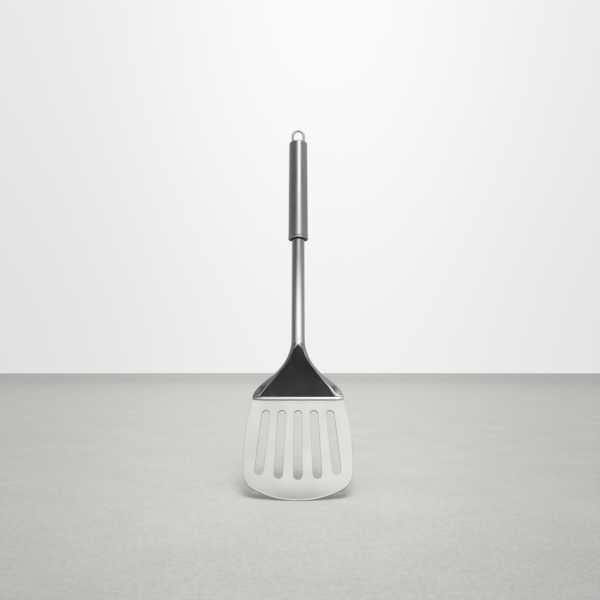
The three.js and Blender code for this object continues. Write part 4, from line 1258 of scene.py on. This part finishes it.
class SPATULA_OT_stage(bpy.types.Operator):
    """Sets the floor, the light and the camera"""

    bl_idname = "spatula.stage"
    bl_label = "Studio"

    def execute(self, context):
        scene = context.scene
        studio = scene.spatula_studio
        ground = floor_grid(studio.floor_reach, CAD_BOX[0][2])
        faces = grid_faces(*ground.shape[:2], close_columns=True)
        floor = put_mesh("floor", ground, faces, honed_floor(studio))
        weld(floor)
        paper = card_paper(studio)
        left_card = grey_card("grey_card_left", studio, paper, -studio.cloth_left, studio.cloth_right)
        right_card = grey_card("grey_card_right", studio, paper, studio.card_start, studio.card_end)
        dark_cloth(studio)
        scene.world = studio_world(studio)
        key = bpy.data.objects.new("key light", bpy.data.lights.new("key light", "SUN"))
        key.data.energy = studio.key_light
        key.data.angle = studio.key_size
        key.rotation_euler = (studio.key_tilt, studio.key_side, 0)
        key.visible_glossy = False
        scene.collection.objects.link(key)
        camera = bpy.data.objects.new("camera", bpy.data.cameras.new("camera"))
        camera.data.lens = studio.lens
        camera.data.sensor_width = 36
        camera.data.clip_start = 0.01
        camera.data.clip_end = 3 * studio.floor_reach
        camera.location = (studio.camera_side, -studio.camera_back, studio.camera_height)
        camera.rotation_euler = (math.pi / 2 + studio.camera_pitch, 0, 0)
        scene.collection.objects.link(camera)
        scene.camera = camera
        scene.view_settings.view_transform = "Standard"
        return {"FINISHED"}


def reflector(name, away, height, start, end, material, turn_steps=48):
    """Sheet that stands round the front of the spatula and that only its steel sees.

    A profile of distance and height above the floor runs between two compass turns, to the right of the
    camera.
    """
    turn = np.linspace(start, end, turn_steps)
    away, height = away[:, None], height[:, None] + CAD_BOX[0][2]
    points = np.stack(np.broadcast_arrays(away * np.sin(turn), -away * np.cos(turn), height), axis=-1)
    sheet = put_mesh(name, points, grid_faces(*points.shape[:2]), material)
    sheet.visible_camera = False
    sheet.visible_diffuse = False
    sheet.visible_shadow = False
    sheet.visible_transmission = False
    return sheet


def dark_cloth(studio, rise_steps=12):
    """Napped cotton cloth, flat on the floor and then turned up; it fills the shoulder's face.

    Its profile is a straight and a quarter circle.
    """
    nap = (2 * MM, 2 * MM, 2 * MM)
    name, tone = "cotton_black_napped", linear("#303133")
    cotton = plain_finish(name, tone, 0.8, nap, nap, (0.9, 1.0), 0.2 * MM, {})
    lift = 2 * MM
    turn_up = np.linspace(0, np.pi / 2, rise_steps)
    away = studio.cloth_reach - studio.cloth_rise * (1 - np.sin(turn_up))
    away = np.insert(away, 0, studio.cloth_start)
    height = np.insert(lift + studio.cloth_rise * (1 - np.cos(turn_up)), 0, lift)
    return reflector("dark_cloth", away, height, -studio.cloth_left, studio.cloth_right, cotton)


def card_paper(studio):
    """Matt grey card: even and soft, with a faint fibre."""
    fibres = (1 * MM, 1 * MM, 1 * MM)
    tone = tuple(studio.card)
    return plain_finish("card_grey_matt", tone, 0.92, fibres, fibres, (0.8, 0.95), 0.05 * MM, {})


def grey_card(name, studio, paper, start, end):
    """Card on edge behind the cloth, between two compass turns; it greys the shoulder's lower rims."""
    behind_cloth = 10 * MM
    away = np.full(2, studio.cloth_reach + behind_cloth)
    return reflector(name, away, np.array([0, studio.card_height]), start, end, paper)


class SPATULA_PT_panel(bpy.types.Panel):
    """Lists the steps that build the spatula"""

    bl_idname = "SPATULA_PT_panel"
    bl_label = "Slotted spatula"
    bl_space_type = "VIEW_3D"
    bl_region_type = "UI"
    bl_category = "Spatula"

    def draw(self, context):
        for step in OPERATORS:
            self.layout.operator(step.bl_idname)


SETTINGS = {
    "spatula_handle": SpatulaHandleSettings,
    "spatula_neck": SpatulaNeckSettings,
    "spatula_blade": SpatulaBladeSettings,
    "spatula_studio": SpatulaStudioSettings,
}
OPERATORS = (
    SPATULA_OT_hanging_loop,
    SPATULA_OT_handle,
    SPATULA_OT_hidden_fittings,
    SPATULA_OT_neck_and_shoulder,
    SPATULA_OT_blade,
    SPATULA_OT_stage,
)
CLASSES = (*SETTINGS.values(), *OPERATORS, SPATULA_PT_panel)


def register():
    """Adds the classes and the settings to Blender."""
    for each in CLASSES:
        bpy.utils.register_class(each)
    for name, group in SETTINGS.items():
        setattr(bpy.types.Scene, name, bpy.props.PointerProperty(type=group))


def unregister():
    """Takes the settings and the classes out of Blender."""
    for name in SETTINGS:
        delattr(bpy.types.Scene, name)
    for each in reversed(CLASSES):
        bpy.utils.unregister_class(each)


def main():
    """Registers the classes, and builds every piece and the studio."""
    register()
    bpy.ops.spatula.hanging_loop()
    bpy.ops.spatula.handle()
    bpy.ops.spatula.hidden_fittings()
    bpy.ops.spatula.neck_and_shoulder()
    bpy.ops.spatula.blade()
    bpy.ops.spatula.stage()


if __name__ == "__main__":
    main()
